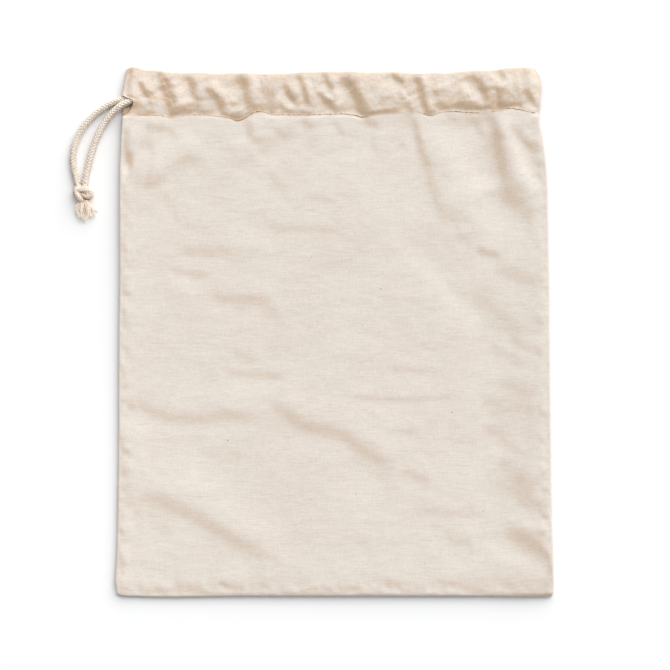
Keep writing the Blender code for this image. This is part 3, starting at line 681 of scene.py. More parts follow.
clothLook = {
    "thickness": 0.5,
    "width": 300.0,
    "firstGuess": 148.0,      # half the width, from which settle starts
    "bottom": -181.0,         # y of the bottom seam
    "bodyDepth": 331.0,       # from there to the stitches
    "backDepth": 361.0,       # and to the top fold
    "dropScale": 1.12,        # all the drops in the tables of flanks below are multiplied by this

    # heights
    "backHeight": 0.3,        # middle of the back panel
    "backInset": 0.35,        # the back's edge lies this far inside the front's
    "leastGap": 0.1,          # between the panels
    "seamHeight": 1.3,        # middle of the front where it meets the side seams
    "lowSeamHeight": 3.6,     # and the bottom seam, which curls up a little
    "lowSeamRun": 12.0,       # over this far from the bottom
    "bodyHeight": 5.2,        # above the bottom seam
    "yokeHeight": 6.6,        # below the casing
    "leftLow": 1.4,           # it lies flatter along the left side
    "leftLowRun": 150.0,      # over this far from the left
    "leftLowAt": (-80.0, 225.0),       # from this y the lower part eases out, over this far
    "dishWidths": (24.0, 46.0, 18.0),  # it sinks again beside the seam allowances
    "dishDepths": (0.3, 2.0, -0.2),    # left, right and bottom
    "dishAt": (30.0, 90.0),   # from this y the dish eases out, over this far
    "allowance": 3.0,         # width of the seam allowances inside

    # edges
    "sideRound": 0.6,         # width of the rounded edge over a side seam
    "lowRound": 3.0,          # and over the bottom seam
    "edgeSoft": 7.0,          # width over which the front comes up to its full height
    "bodyFirm": 0.94,         # how much of that rise is in the rounded edge itself
    "casingFirm": 0.4,
    "slotFirm": 0.3,          # less of it at the slot
    "slotFirmFrom": (152.0, 3.0),      # from this y, over this far
    "slotFirmHalf": (163.0, 6.0),      # half of it is gone again after this y
    "slotFirmRun": 20.0,      # and over this far from the left
    "edgeSteps": (0.0, 0.35, 0.8, 1.3, 1.9, 2.6, 3.5, 4.6, 6.0, 7.6),   # rows of points beside an edge
    "backSteps": (0.0, 0.7, 1.5, 2.5, 4.0, 6.0),
    # the lower right corner is pressed down. Columns: depth, reach from the right, from the bottom
    "bodyCorner": (1.7, 16.0, 12.0),
    "edgeCorner": (2.4, 13.0, 10.0),
    "topCornerHeight": 2.2,   # the edge at the casing's right end
    "topCornerAt": (150.0, 10.0),      # from this y, over this far
    "topCornerRun": 14.0,     # and over this far from the right
    "lowLeftEdge": 0.6,       # the bottom edge lies lower towards the left
    "lowLeftRun": 130.0,
    "lowEdgeRun": 10.0,

    # stitches and casing
    "grooveDepth": 0.4,       # the stitches pull the cloth in
    "grooveWidth": 1.5,
    "casingRise": 1.4,        # from the stitches to the level of the cords
    "casingRun": 18.0,
    "slotLift": 0.5,          # the cord holds the cloth up where it comes out
    "slotLiftAt": (-118.0, -16.0),     # from this x, over this far to the left
    "slotLiftRun": 9.0,       # and over this far up from the stitches
    "cornerFall": 2.8,        # the casing's upper left corner falls off again
    "cornerFallAt": (-116.0, -20.0),
    "cornerFallUp": (4.0, 25.0),       # from this far above the stitches, over this far
    "casingFlanksUp": (-1.6, 4.0),     # where the casing's own folds begin
    "slotReach": 18.0,        # how far in the slot's own heights count
    "foldDepth": 1.2,         # how far the top fold reaches beyond the level layers
    "foldSoft": 2.0,          # width of the fall before it
    "foldDrop": 0.25,         # and its depth
    "hemStep": 1.4,           # between the outer layer and the hem at the top fold
    "hemBelow": 4.0,          # the hem ends this far below the stitches
    "hemEnds": (-126.0, 121.0),        # and is drawn in to these x
    "hemOverCord": 4.6,       # half the width of its rise over the cord
    "hemTurn": 0.25,          # share of the hem in which it comes down from the fold
    "hemDraw": 0.3,           # and in which it is drawn in
    "hemGap": 0.8,            # least step between the front's outer layer and its hem
    "frontHem": (1.75, 3.9),  # its height, and its rise over the cord
    "backHem": (0.95, 3.75),

    # loose crumples, longer along the weft. Columns: height, size along x and y, place in the noise
    "crumples": [(0.16, 40, 16, 4.2), (0.1, 14, 7, 8.4), (0.05, 6, 3.5, 2.9)],
    "casingCrumples": 0.6,    # as a share of the body's
    "foldsRun": 6.0,          # the body's folds and crumples are full this far from the edge
    # pulled by the seams
    "puckers": [(0.3, 4.5, 4.5, 6.6), (0.35, 10, 10, 1.6)],
    "puckerStart": 2.0,       # they are full this far from the edge
    "puckerEnd": (4.0, 8.0),  # and ease out from here, over this far
    "casingPuckers": 0.3,     # as a share of the body's
    # fine gathers of the casing. Columns: as above, then how far they lean, how far above the stitches
    # they are full
    "gathers": [(0.42, 6.5, 22, 5.5, 0.35, 3.0), (0.34, 4.2, 6.0, 15.1, 0.6, 2.0)],
    # the stitches pull unevenly
    "grooveNoise": [(0.9, 9, 30, 19.4), (0.5, 3.4, 30, 23.8)],

    # painted shade, 0 for plain cloth and 1 for the colour of a fold
    "shadedTone": 2.5,        # for cloth that turns away from the light
    "shadedMost": 0.6,        # slope beyond which that grows no more
    "shadedRun": 3.0,         # not beside an edge
    "casingTone": 0.22,
    "casingToneNoise": [(0.2, 9, 7, 12.2)],
    "topTone": 0.15,
    "topToneUp": (18.0, 9.0), # from this far above the stitches, over this far
    "seamTone": 0.1,
    "seamToneRun": 4.0,
    "stitchTone": 0.16,
    "stitchToneUp": 0.8,      # painted shade, browner just above the stitches
    "stitchToneNoise": [(0.2, 3.0, 30, 27.1)],
    "slotTone": 0.9,          # and painted shade along the slot's edge, between these y
    "slotToneFrom": (148.0, 3.0),
    "slotToneTo": (160.0, 3.0),
    "slotToneRun": 0.8,
    "insideTone": 0.4,        # painted shade of the front's hem and of the back's fold

    "columns": 190,
    "bodyRows": 184,
    "casingRows": 27,
    "foldRows": 6,
    "hemRows": 12,
    "backColumns": 84,
    "backRows": 96,
    "backHemRows": 20,
}

# Flanks of the folds: a line, half the width of the flank, and how far the cloth drops across it
# from the line's left side to its right. Below 0 it rises, so it faces the other way.
bodyFlanks = [
    # the long diagonal fold in the lower middle
    ([(-50, -47), (-42, -50), (-35, -54), (-28, -59), (-22, -63), (-12, -66), (0, -69), (8, -72), (15, -77),
      (22, -82), (30, -86), (38, -89), (48, -91)], 4.8, 1.3),
    ([(10, -82), (28, -92), (44, -98)], 6.0, 0.5),
    ([(-85, -46), (-68, -42), (-52, -38), (-34, -40), (-14, -50)], 6.0, -0.5),
    ([(46, -95), (58, -99), (68, -104)], 3.5, 0.6),
    # the one that comes in from the left seam
    ([(-149, -50), (-135, -51), (-125, -55), (-112, -58), (-95, -60), (-75, -57), (-58, -57),
      (-46, -54)], 3.6, 0.85),
    ([(-149, -58), (-137, -62), (-124, -70)], 6.0, -0.9),
    ([(-149, -81), (-139, -82)], 1.2, 0.5),
    ([(-100, -80), (-82, -83), (-60, -87)], 4.0, 0.4),
    # the long one in the lower left
    ([(-151, -117), (-140, -117), (-130, -114), (-118, -116), (-106, -121), (-95, -127), (-85, -133),
      (-75, -139), (-65, -145), (-55, -150), (-43, -155), (-30, -160)], 5.4, 1.3),
    ([(-146, -124), (-126, -124), (-108, -132)], 8.0, 0.6),
    ([(-118, -84), (-98, -98), (-80, -112), (-62, -128), (-42, -142), (-22, -152)], 10.0, -1.1),
    ([(-140, -129), (-124, -133), (-108, -140)], 3.0, 0.3),
    # the pulled folds under the casing at the right
    ([(110, 154), (111, 141), (113.5, 128), (116, 116), (117, 106), (118, 97)], 5.0, 2.9),
    ([(114, 104), (121, 93), (129, 85), (142, 79)], 6.0, 1.8),
    ([(133, 128), (138, 118), (142, 104)], 4.0, 0.8),
    ([(109, 151), (112, 140), (113, 132)], 3.0, 0.9),
    ([(118, 151), (122, 137), (128, 121), (134, 107), (142, 94)], 4.4, -2.4),
    ([(119, 145), (126, 138), (132, 131), (142, 122)], 2.6, 1.2),
    ([(136, 146), (142, 140)], 2.0, 0.8),
    ([(138, 132), (144, 126)], 2.0, 0.6),
    ([(140, 110), (145, 102)], 2.2, 0.7),
    ([(53, 153), (56, 140), (59.5, 128), (63, 117), (66.5, 105), (70, 94), (74, 83), (79, 71)], 3.8, 1.1),
    ([(54, 152), (57, 140), (61, 127)], 2.4, 0.8),
    ([(57, 136), (61, 124), (67, 112)], 2.0, 0.4),
    ([(70, 122), (76, 112), (80, 102)], 4.0, 0.5),
    ([(66, 150), (76, 134), (88, 118), (99, 98), (108, 78), (118, 62)], 9.0, -1.7),
    ([(77, 149), (87, 144.5)], 1.5, 0.4),
    ([(96, 148), (100, 140), (105, 131)], 2.4, 0.8),
    ([(84, 66), (94, 65)], 2.0, 0.5),
    ([(98, 58), (105, 55), (116, 53)], 2.4, 0.9),
    ([(78, 79), (98, 78)], 3.0, 0.4),
    # short ones under the stitches
    ([(-59, 148), (-57.5, 139), (-57, 130)], 2.6, 1.3),
    ([(0, 147), (4, 140), (8, 134)], 2.4, 0.6),
    ([(-23, 148), (-17, 143), (-13, 139)], 2.8, 1.0),
    ([(-17, 140), (-14, 120)], 4.0, 0.5),
    ([(20, 147), (32, 142)], 2.4, 0.9),
    ([(26, 138), (30, 122)], 3.0, 0.6),
    ([(44, 136), (50, 124)], 2.6, 0.6),
    ([(-131, 144), (-120, 140), (-111, 143)], 2.8, 1.0),
    # the crossing diagonals at the upper left
    ([(-134, 97), (-128, 101), (-120, 106), (-112, 112), (-103, 118), (-88, 124)], 4.6, 1.6),
    ([(-134, 117), (-122, 121), (-108, 130), (-90, 136)], 6.0, -0.9),
    ([(-146, 135), (-134, 130), (-121, 128)], 5.0, 1.2),
    ([(-72, 112), (-60, 118), (-52, 123), (-45, 129), (-38, 136), (-26, 144)], 3.8, 0.85),
    ([(-50, 112), (-36, 122), (-26, 134)], 5.0, -0.9),
    ([(0, 132), (24, 104), (46, 66)], 16.0, -1.3),
    # faint ones across the middle
    ([(-132, 94), (-118, 92), (-108, 93)], 4.0, 0.6),
    ([(-138, 86), (-116, 85)], 2.4, 0.3),
    ([(-104, 73), (-84, 72)], 3.0, 0.35),
    ([(-108, 56), (-86, 56), (-62, 54)], 3.4, 0.7),
    ([(-66, 66), (-52, 64), (-40, 60)], 4.0, -0.4),
    ([(-50, 72), (0, 71), (12, 70)], 2.4, 0.4),
    ([(-22, 94), (-8, 92), (2, 90)], 1.5, 0.3),
    ([(-88, 25), (-66, 23), (-40, 24)], 3.2, 0.8),
    ([(-52, 14), (-36, 13)], 3.0, 0.3),
    ([(-118, 46), (-106, 36), (-92, 25)], 3.5, -0.4),
    ([(-114, 43), (-100, 41), (-84, 40)], 1.6, 0.4),
    ([(-72, -12), (-62, -16), (-52, -22)], 2.6, 0.5),
    ([(-80, -23), (-64, -28), (-30, -31)], 2.2, 0.5),
    ([(0, -44), (30, -45), (50, -46), (92, -44)], 1.6, 0.4),
    ([(36, -25), (74, -26)], 2.0, 0.4),
    ([(28, -67), (62, -68)], 2.0, 0.35),
    ([(50, -122), (80, -124), (110, -123)], 3.0, 0.35),
    ([(76, -142), (98, -147)], 4.0, 0.5),
    # right of the middle
    ([(42, 60), (53, 50), (64, 41), (76, 30), (86, 18), (96, 6), (106, -2)], 6.4, -1.0),
    ([(86, 27), (98, 22), (108, 17), (118, 9), (126, 0), (134, -8)], 7.0, 0.9),
    ([(76, 34), (84, 28), (92, 24)], 3.0, 0.5),
    ([(107, -8), (114, -13), (123, -17), (133, -25)], 3.0, 0.5),
    ([(120, -4), (132, -9), (146, -14)], 3.0, 0.6),
    ([(100, -62), (112, -70), (126, -80), (136, -88)], 4.0, 0.7),
    ([(112, 46), (122, 42), (131, 37), (142, 33)], 4.0, 0.6),
    ([(92, -56), (104, -66)], 4.0, 0.5),
    ([(112, -30), (125, -38), (142, -44)], 7.0, 1.1),
    ([(98, -46), (118, -51), (142, -53)], 5.0, 0.8),
    ([(76, -74), (96, -76), (112, -79)], 3.5, 0.5),
    ([(100, -100), (118, -107), (140, -115)], 5.0, 0.7),
    ([(66, -137), (84, -139), (96, -138)], 4.0, 0.4),
    ([(104, -56), (120, -64), (142, -70)], 7.0, 0.8),
    ([(108, -86), (120, -92), (129, -102), (142, -112)], 5.4, 1.1),
    ([(124, -116), (138, -118), (150, -118)], 3.0, 0.6),
    ([(128, -131), (150, -133)], 2.0, -0.6),
    # the lower right corner
    ([(114, -134), (122, -137.4), (131, -142), (141, -148.4), (151, -154), (162, -160)], 5.0, 1.3),
    ([(100, -146), (120, -153), (135, -161), (151, -168)], 4.6, -0.9),
    # puckers along the seams
    ([(68, -171), (90, -173), (110, -173.5)], 3.2, 0.6),
    ([(34, -171), (48, -174)], 2.4, 0.6),
    ([(-147, -178.4), (-120, -178.8), (-60, -178.8)], 1.6, 0.3),
    ([(-112, -172), (-100, -174), (-88, -178)], 3.0, 0.6),
    ([(-82, -172), (-70, -175), (-60, -178)], 2.6, 0.8),
    ([(-52, -171), (-45, -176)], 2.0, 0.3),
    ([(-150, -172), (-142, -178)], 2.0, 0.8),
    ([(-20, -176), (20, -177)], 2.0, 0.5),
    ([(-148, 127), (-141, 123), (-136, 121)], 3.0, 1.9),
    ([(-148, -51), (-136, -52)], 3.0, 0.7),
    ([(-149, 121), (-143, 118), (-137, 116)], 2.4, 1.6),
    ([(-149, 62), (-142, 58)], 3.0, 0.6),
    ([(-149, 53), (-141, 51)], 1.8, 0.5),
    ([(-149, 28), (-138, 27)], 1.6, 0.6),
    ([(-149, 12), (-143, 8)], 2.5, 0.5),
    ([(-149, -36), (-142, -38)], 1.8, 0.5),
    ([(-151, -134), (-146, -146)], 2.0, 0.8),
    ([(-151, -156), (-144, -161)], 2.0, 0.8),
    ([(142, -57), (149, -56)], 1.3, 0.6),
    ([(143, -65), (149, -64)], 1.2, 0.5),
    ([(142, -76), (149, -74)], 1.3, 0.6),
    ([(141, -98), (149, -96)], 1.3, 0.6),
    ([(142, -109), (150, -108)], 1.2, 0.5),
    ([(142, -127), (150, -126)], 1.3, 0.6),
    ([(141, -139), (150, -137)], 1.3, 0.6),
]
# those of the casing run down from the top fold to the stitches
casingFlanks = [
    ([(-140.5, 183), (-140, 175)], 1.2, 0.8),
    ([(-134.4, 174), (-132, 169.6), (-129.6, 165.4), (-127, 161)], 1.3, 2.0),
    ([(-126.5, 167), (-124.5, 163), (-124, 159)], 1.3, 1.2),
    ([(-121, 180), (-116.5, 176), (-114, 172)], 1.8, 1.3),
    ([(-121.5, 172), (-119, 168), (-116, 163), (-113, 157), (-110.5, 151), (-109, 147.5)], 2.0, 2.0),
    ([(-117, 172), (-114.5, 167), (-111.5, 162), (-107, 157)], 1.9, 1.5),
    ([(-113, 172.5), (-111, 166), (-108, 160)], 1.6, 1.1),
    ([(-121, 172.5), (-116, 172.5), (-112, 171)], 1.6, 0.9),
    ([(-119.5, 171), (-116, 167.6), (-113, 164)], 2.2, 1.2),
    ([(-111, 156), (-105, 155), (-99, 156.4), (-94, 156), (-89, 154)], 2.4, 0.9),
    ([(-130, 164), (-127, 160), (-124, 155)], 1.6, 1.2),
    ([(100, 162), (103, 158), (106, 154)], 2.2, 1.0),
    ([(-108, 154), (-103, 155.5)], 1.6, 0.7),
    ([(-116.5, 175), (-112.5, 171), (-110, 167)], 2.0, 1.6),
    ([(-106, 170), (-103, 159)], 3.5, -0.6),
    ([(-99, 178), (-97.5, 171), (-96, 166), (-95, 158)], 2.5, 2.9),
    ([(-90.5, 170), (-86, 166.5), (-81.5, 163), (-78.5, 159), (-76, 154), (-73, 149.5)], 2.4, 2.1),
    ([(-85, 174), (-78, 167), (-72, 158)], 2.6, -1.2),
    ([(-66, 179), (-62, 173), (-60, 166), (-59, 158), (-58.4, 151)], 2.9, 3.3),
    ([(-70, 151), (-64, 149)], 1.6, 0.8),
    ([(-55, 179), (-53, 168), (-50, 160)], 2.4, -1.0),
    ([(-80, 151), (-73, 149), (-66, 147), (-60, 148.6), (-56, 151.4)], 1.8, 2.3),
    ([(-72, 160), (-68, 155), (-65, 150)], 2.4, 1.4),
    ([(-54, 170), (-46, 165), (-38, 162)], 4.4, 1.8),
    ([(-34, 166), (-29, 163), (-22, 161)], 3.2, 1.2),
    ([(-35, 173), (-33, 169.5), (-31, 165), (-27.5, 160), (-25, 154)], 1.8, 1.9),
    ([(-38, 158), (-34, 154.5), (-30, 151.5), (-26, 149.5)], 1.6, 1.2),
    ([(-37, 164), (-32, 158), (-27, 154)], 1.6, -0.9),
    ([(-27, 179.5), (-23.5, 175.5), (-21, 170), (-19, 163), (-17.5, 153)], 1.9, 2.3),
    ([(-17, 174), (-16, 162)], 1.4, -0.9),
    ([(-10, 178), (-5, 176), (-3, 170), (-2, 166)], 1.5, 1.0),
    ([(-12.5, 167), (-8, 162.5), (-3.5, 158.5), (0, 154), (1.5, 150)], 2.1, 2.5),
    ([(-4, 175), (-2, 168), (-1, 161)], 1.7, 1.5),
    ([(-5, 165), (-1, 161)], 1.2, -0.8),
    ([(3.4, 179.5), (8, 174), (12.2, 169), (15.8, 163), (18.6, 157), (20.8, 151), (23, 145),
      (26, 138)], 3.6, 4.2),
    ([(13, 179), (18, 176)], 2.0, -0.5),
    ([(20, 172), (27, 168), (34, 168)], 3.0, 0.8),
    ([(0, 170), (6, 162)], 2.6, -0.9),
    ([(25, 158), (34, 157), (45, 157)], 3.6, 0.7),
    ([(26, 162), (36, 161.4), (44, 162)], 1.6, 0.35),
    ([(39, 179.5), (44, 174.5), (50, 171.5)], 1.8, 1.8),
    ([(47, 169), (50.5, 160)], 1.1, -1.2),
    ([(45.5, 164), (47, 158)], 1.0, -0.8),
    ([(45, 164), (47, 160)], 0.9, 0.7),
    ([(49, 160), (51.5, 156), (52.5, 150)], 2.0, 1.2),
    ([(32, 153.8), (40, 154), (47, 154)], 1.4, 0.2),
    ([(53.5, 178.5), (57.5, 174.5), (59.5, 170), (61, 163), (63, 156), (66, 150)], 2.2, 2.6),
    ([(60, 179), (66, 169)], 2.2, -1.2),
    ([(69, 169), (73, 161), (75, 153)], 3.0, 1.0),
    ([(60, 152.6), (66, 150.8), (71, 153)], 1.6, 1.4),
    ([(71, 153.6), (80, 154)], 1.4, 0.8),
    ([(80, 153.6), (94, 152.6), (107, 153.6)], 1.6, 0.8),
    ([(112, 155.8), (122, 156.2), (132, 155)], 1.6, 0.3),
    ([(-112, 150.6), (-104, 151.6), (-90, 151.8), (-80, 151)], 1.8, 0.6),
    ([(-67, 166), (-65, 159), (-63, 152)], 2.2, 0.9),
    ([(67, 167), (72, 165), (80, 165.5)], 2.6, 1.0),
    ([(70, 160), (76, 156), (81, 156)], 3.0, 0.9),
    ([(86, 173), (92, 167.5), (97, 163), (102, 159)], 2.2, -1.4),
    ([(84, 160), (92, 158), (102, 159)], 5.0, 1.5),
    ([(83, 160), (88, 156.5), (96, 155), (104, 154)], 3.2, 1.2),
    ([(93.5, 179), (98, 173.5), (102.5, 167.5), (105.5, 161), (103.5, 154)], 2.8, 2.7),
    ([(111.5, 171), (113.5, 165), (114, 158), (113, 153)], 1.9, 2.8),
    ([(109, 158), (111.5, 153), (112, 148)], 1.6, 1.4),
    ([(110, 155), (117, 157), (127, 156.5), (131, 159), (135, 159.5)], 2.2, 1.5),
    ([(84, 170), (94, 163), (108, 158), (128, 157)], 7.0, 1.5),
    ([(113, 168), (120, 166.5), (130, 167)], 4.4, 2.4),
    ([(117, 163), (128, 161)], 4.0, 0.8),
    ([(106, 178), (112, 174.5), (117, 171)], 1.1, -0.7),
    ([(113, 180), (118, 176.5)], 1.1, 0.7),
    ([(116, 179.5), (122, 175.5)], 1.0, -0.6),
    ([(120, 170), (125, 163)], 1.2, -0.6),
    ([(129, 168), (134, 164), (138, 159), (141.5, 153)], 2.0, 2.3),
    ([(130, 157), (136, 154.5), (140, 151)], 1.5, -1.0),
    ([(137, 172), (140, 168), (142, 163)], 1.5, 1.1),
]


def addFlanks(rows, x, y, rise):
    # each flank is a step between a high side and a low side, which both ease back to nothing
    for line, width, drop in rows:
        reach = 4.5 * width
        path = smoothLine(line, max(1.0, width * 0.6))
        near = (
            (x > path[:, 0].min() - 3 * reach) & (x < path[:, 0].max() + 3 * reach)
            & (y > path[:, 1].min() - 3 * reach) & (y < path[:, 1].max() + 3 * reach)
        )
        px, py = x[near], y[near]
        best = np.full(px.shape, 1e9)
        side = np.zeros(px.shape)
        share = np.zeros(px.shape)
        spans = len(path) - 1
        for k in range(spans):
            ax, ay = path[k]
            bx, by = path[k + 1]
            dx, dy = bx - ax, by - ay
            run = dx * dx + dy * dy
            t = np.clip(((px - ax) * dx + (py - ay) * dy) / run, 0.0, 1.0)
            away = np.hypot(px - ax - t * dx, py - ay - t * dy)
            closer = away < best
            best = np.where(closer, away, best)
            side = np.where(closer, np.sign(dx * (py - ay) - dy * (px - ax)), side)
            share = np.where(closer, (k + t) / spans, share)
        ends = ease(share / 0.22) * ease((1 - share) / 0.22)
        signed = best * side
        step = clothLook["dropScale"] * drop / 2 * np.tanh(signed / width)
        rise[near] += step * np.exp(-((best / reach) ** 2)) * ends


def noiseField(x, y, sizeX, sizeY, place):
    # smooth noise from -1 to 1 with features of these sizes in mm
    flat = [
        noise.noise(Vector((a / sizeX + place, b / sizeY - place, place * 1.7)))
        for a, b in zip(x.ravel(), y.ravel())
    ]
    return np.array(flat).reshape(x.shape)


def layered(x, y, rows):
    # several layers of noise on each other
    return sum(height * noiseField(x, y, sizeX, sizeY, place) for height, sizeX, sizeY, place in rows)


def easeFrom(at, start, run):
    # 0 up to the start and 1 after the run; a run below 0 goes the other way
    return ease((at - start) / run)


def bagEdges(y):
    # x of the left edge, the right edge, and the left edge with the slot
    left = alongTable(sideRows, 1, y)
    right = alongTable(sideRows, 2, y)
    slot = alongTable(slotRows, 1, y)
    slotStart = slotRows[0][0]
    drawnBack = left + (slot - left) * easeFrom(y, slotStart, 2.0)
    return left, right, np.where(y > slotStart, drawnBack, left)


def settle(across, rowY):
    # the x and y of points at a share across, on rows whose y depends on x
    x = np.interp(across, [0, 1], [-clothLook["firstGuess"], clothLook["firstGuess"]])
    for _ in range(4):
        y = rowY(x)
        _, right, slotLeft = bagEdges(y)
        x = slotLeft + (right - slotLeft) * across
    return x, y


def shareAcross(steps, columns):
    # close rows of points beside both edges, even ones between
    ends = [step / clothLook["width"] for step in steps]
    middle = np.linspace(ends[-1], 1 - ends[-1], columns)[1:-1]
    return np.array(ends + list(middle) + [1 - end for end in reversed(ends)])


def cornerDip(fromRight, fromBottom, depth, across, up):
    return depth * np.exp(-((fromRight / across) ** 2) - (fromBottom / up) ** 2)


def rounded(away, width):
    return np.sqrt(np.clip(1 - (1 - np.clip(away / width, 0, 1)) ** 2, 0, 1))


def frontHeights(x, y, inCasing):
    # the height of the front's outer layer, and the painted shade of its folds
    look = clothLook
    _, right, slotLeft = bagEdges(y)
    stitch = alongTable(stitchRows, 1, x)
    top = alongTable(topRows, 1, x)
    bottom = alongTable(bottomRows, 1, x)
    fromLeft = np.maximum(x - slotLeft, 0.0)
    fromRight = np.maximum(right - x, 0.0)
    fromBottom = np.maximum(y - bottom, 0.0)
    sides = np.minimum(fromLeft, fromRight)
    inside = np.minimum(sides, fromBottom)
    above = y - stitch

    # body: nearly level, with a dish inside the seam allowances and a groove at the stitches
    climb = look["yokeHeight"] - look["bodyHeight"]
    body = look["bodyHeight"] + climb * (y - look["bottom"]) / look["bodyDepth"]
    dished = 1 - easeFrom(y, *look["dishAt"])
    for away, depth, width in zip((fromLeft, fromRight, fromBottom), look["dishDepths"], look["dishWidths"]):
        body = body + depth * dished * (1 - np.clip((away - look["allowance"]) / width, 0.0, 1.0)) ** 1.5
    lowered = (1 - np.clip(fromLeft / look["leftLowRun"], 0.0, 1.0)) * (1 - easeFrom(y, *look["leftLowAt"]))
    body = body - look["leftLow"] * lowered
    body = body - cornerDip(fromRight, fromBottom, *look["bodyCorner"])
    groove = look["grooveDepth"] * np.exp(-np.abs(above) / look["grooveWidth"])
    groove = groove * (1 + layered(x, y, look["grooveNoise"]))

    # casing: up from the stitches, nearly level over the cords, then down to the top fold
    lift = look["slotLift"] * easeFrom(x, *look["slotLiftAt"])
    swell = np.sin(math.pi / 2 * np.clip(above / look["casingRun"], 0.0, 1.1))
    casing = look["yokeHeight"] + look["casingRise"] * swell + lift * ease(above / look["slotLiftRun"])
    start, run = look["cornerFallUp"]
    falling = easeFrom(x, *look["cornerFallAt"]) * np.clip((above - start) / run, 0.0, 1.0) ** 2
    casing = casing - look["cornerFall"] * falling
    fall = np.clip((y - top + look["foldDepth"] + look["foldSoft"]) / look["foldSoft"], 0.0, 1.0)
    casing = casing - look["foldDrop"] * fall**2

    bodyRise = np.zeros_like(x)
    addFlanks(bodyFlanks, x, y, bodyRise)
    casingRise = np.zeros_like(x)
    addFlanks(casingFlanks, x, y, casingRise)
    casingRise = casingRise * easeFrom(above, *look["casingFlanksUp"])
    crumple = layered(x, y, look["crumples"])
    gathers = sum(
        layered(x - lean * y, y, [(height, sizeX, sizeY, place)]) * ease(above / full)
        for height, sizeX, sizeY, place, lean, full in look["gathers"]
    )
    body = body + (bodyRise + crumple) * ease(inside / look["foldsRun"]) - groove
    casing = casing + casingRise + gathers + crumple * look["casingCrumples"] - groove
    z = np.where(inCasing, casing, body)

    # the height of the edge itself
    edge = look["seamHeight"]
    edge = edge + (look["lowSeamHeight"] - edge) * (1 - ease(fromBottom / look["lowSeamRun"]))
    slotShare = easeFrom(y, slotRows[0][0], 3.0) * (1 - ease((x - slotLeft) / look["slotReach"]))
    edge = edge + (alongTable(slotRows, 2, y) - edge) * slotShare
    cornerShare = (1 - ease(fromRight / look["topCornerRun"])) * easeFrom(y, *look["topCornerAt"])
    edge = edge + (look["topCornerHeight"] - edge) * cornerShare
    edge = edge - cornerDip(fromRight, fromBottom, *look["edgeCorner"])
    lowered = (1 - ease(fromLeft / look["lowLeftRun"])) * np.exp(-((fromBottom / look["lowEdgeRun"]) ** 2))
    edge = edge - look["lowLeftEdge"] * lowered

    # from the edge up to the full height, first round and then softly, with puckers
    firm = np.where(inCasing, look["casingFirm"], look["bodyFirm"])
    atSlot = easeFrom(y, *look["slotFirmFrom"]) * (1 - 0.5 * easeFrom(y, *look["slotFirmHalf"]))
    firm = firm - look["slotFirm"] * atSlot * (1 - ease(fromLeft / look["slotFirmRun"]))
    risen = firm * np.minimum(rounded(sides, look["sideRound"]), rounded(fromBottom, look["lowRound"]))
    risen = risen + (1 - firm) * ease(inside / look["edgeSoft"])
    pucker = layered(x, y, look["puckers"]) * ease(inside / look["puckerStart"])
    pucker = pucker * (1 - easeFrom(inside, *look["puckerEnd"]))
    z = edge + (z - edge) * risen + pucker * np.where(inCasing, look["casingPuckers"], 1.0)
    z = np.maximum(z, look["backHeight"] + look["thickness"] + look["leastGap"])

    # painted shade: browner through the casing and towards its top fold, beside the seams, just above the
    # stitches and along the slot's edge
    casingTone = look["casingTone"] + layered(x, y, look["casingToneNoise"])
    casingTone = casingTone + look["topTone"] * easeFrom(above, *look["topToneUp"])
    tone = np.where(inCasing, casingTone, 0.0) + look["seamTone"] * (1 - ease(inside / look["seamToneRun"]))
    stitchTone = look["stitchTone"] + layered(x, y, look["stitchToneNoise"])
    tone = tone + stitchTone * np.exp(-np.abs(above - look["stitchToneUp"]))
    atSlot = easeFrom(y, *look["slotToneFrom"]) * (1 - easeFrom(y, *look["slotToneTo"]))
    return z, tone + look["slotTone"] * np.exp(-fromLeft / look["slotToneRun"]) * atSlot


def shadedTone(x, y, z, tone, inside):
    # cloth that turns away from the light looks warmer as well as darker
    look = clothLook
    acrossX, acrossY, acrossZ = (np.gradient(values, axis=1) for values in (x, y, z))
    upX, upY, upZ = (np.gradient(values, axis=0) for values in (x, y, z))
    area = acrossX * upY - acrossY * upX
    slopeX = (acrossZ * upY - acrossY * upZ) / area
    slopeY = (acrossX * upZ - acrossZ * upX) / area
    away = slopeX * math.cos(keyHeading) + slopeY * math.sin(keyHeading)
    shaded = look["shadedTone"] * np.clip(away, 0.0, look["shadedMost"])
    return tone + shaded * ease(inside / look["shadedRun"])


def sheetFaces(rows, columns):
    grid = np.arange(rows * columns).reshape(rows, columns)
    corners = (grid[:-1, :-1], grid[:-1, 1:], grid[1:, 1:], grid[1:, :-1])
    return np.stack([corner.ravel() for corner in corners], axis=1).tolist()


def clothPiece(name, parts, nodeName):
    # parts of one sheet, each with its rows of x, y, z and tone
    x, y, z, tone = (np.concatenate([part[k] for part in parts]) for k in range(4))
    points = np.stack([x, y, z], axis=-1).reshape(-1, 3)
    piece = tonedPiece(name, points, sheetFaces(*x.shape), np.clip(tone, 0, 1.5), clothFace)
    shell = piece.modifiers.new("thickness", "SOLIDIFY")
    shell.thickness = clothLook["thickness"] * mm
    shell.offset = 0.0
    onBag(piece, "cloth", nodeName)
    return piece


def topFold(x0, y0, z0, tone, way):
    # half round, from a panel's outer layer to its hem, which lies below it (-1) or above it (1)
    look = clothLook
    turn = np.linspace(0, math.pi, look["foldRows"] + 2)[1:-1, None]
    shape = (len(turn), len(x0))
    return (
        np.broadcast_to(x0, shape),
        y0 + look["foldDepth"] * np.sin(turn),
        z0 + way * look["hemStep"] / 2 * (1 - np.cos(turn)),
        np.broadcast_to(tone, shape),
    )


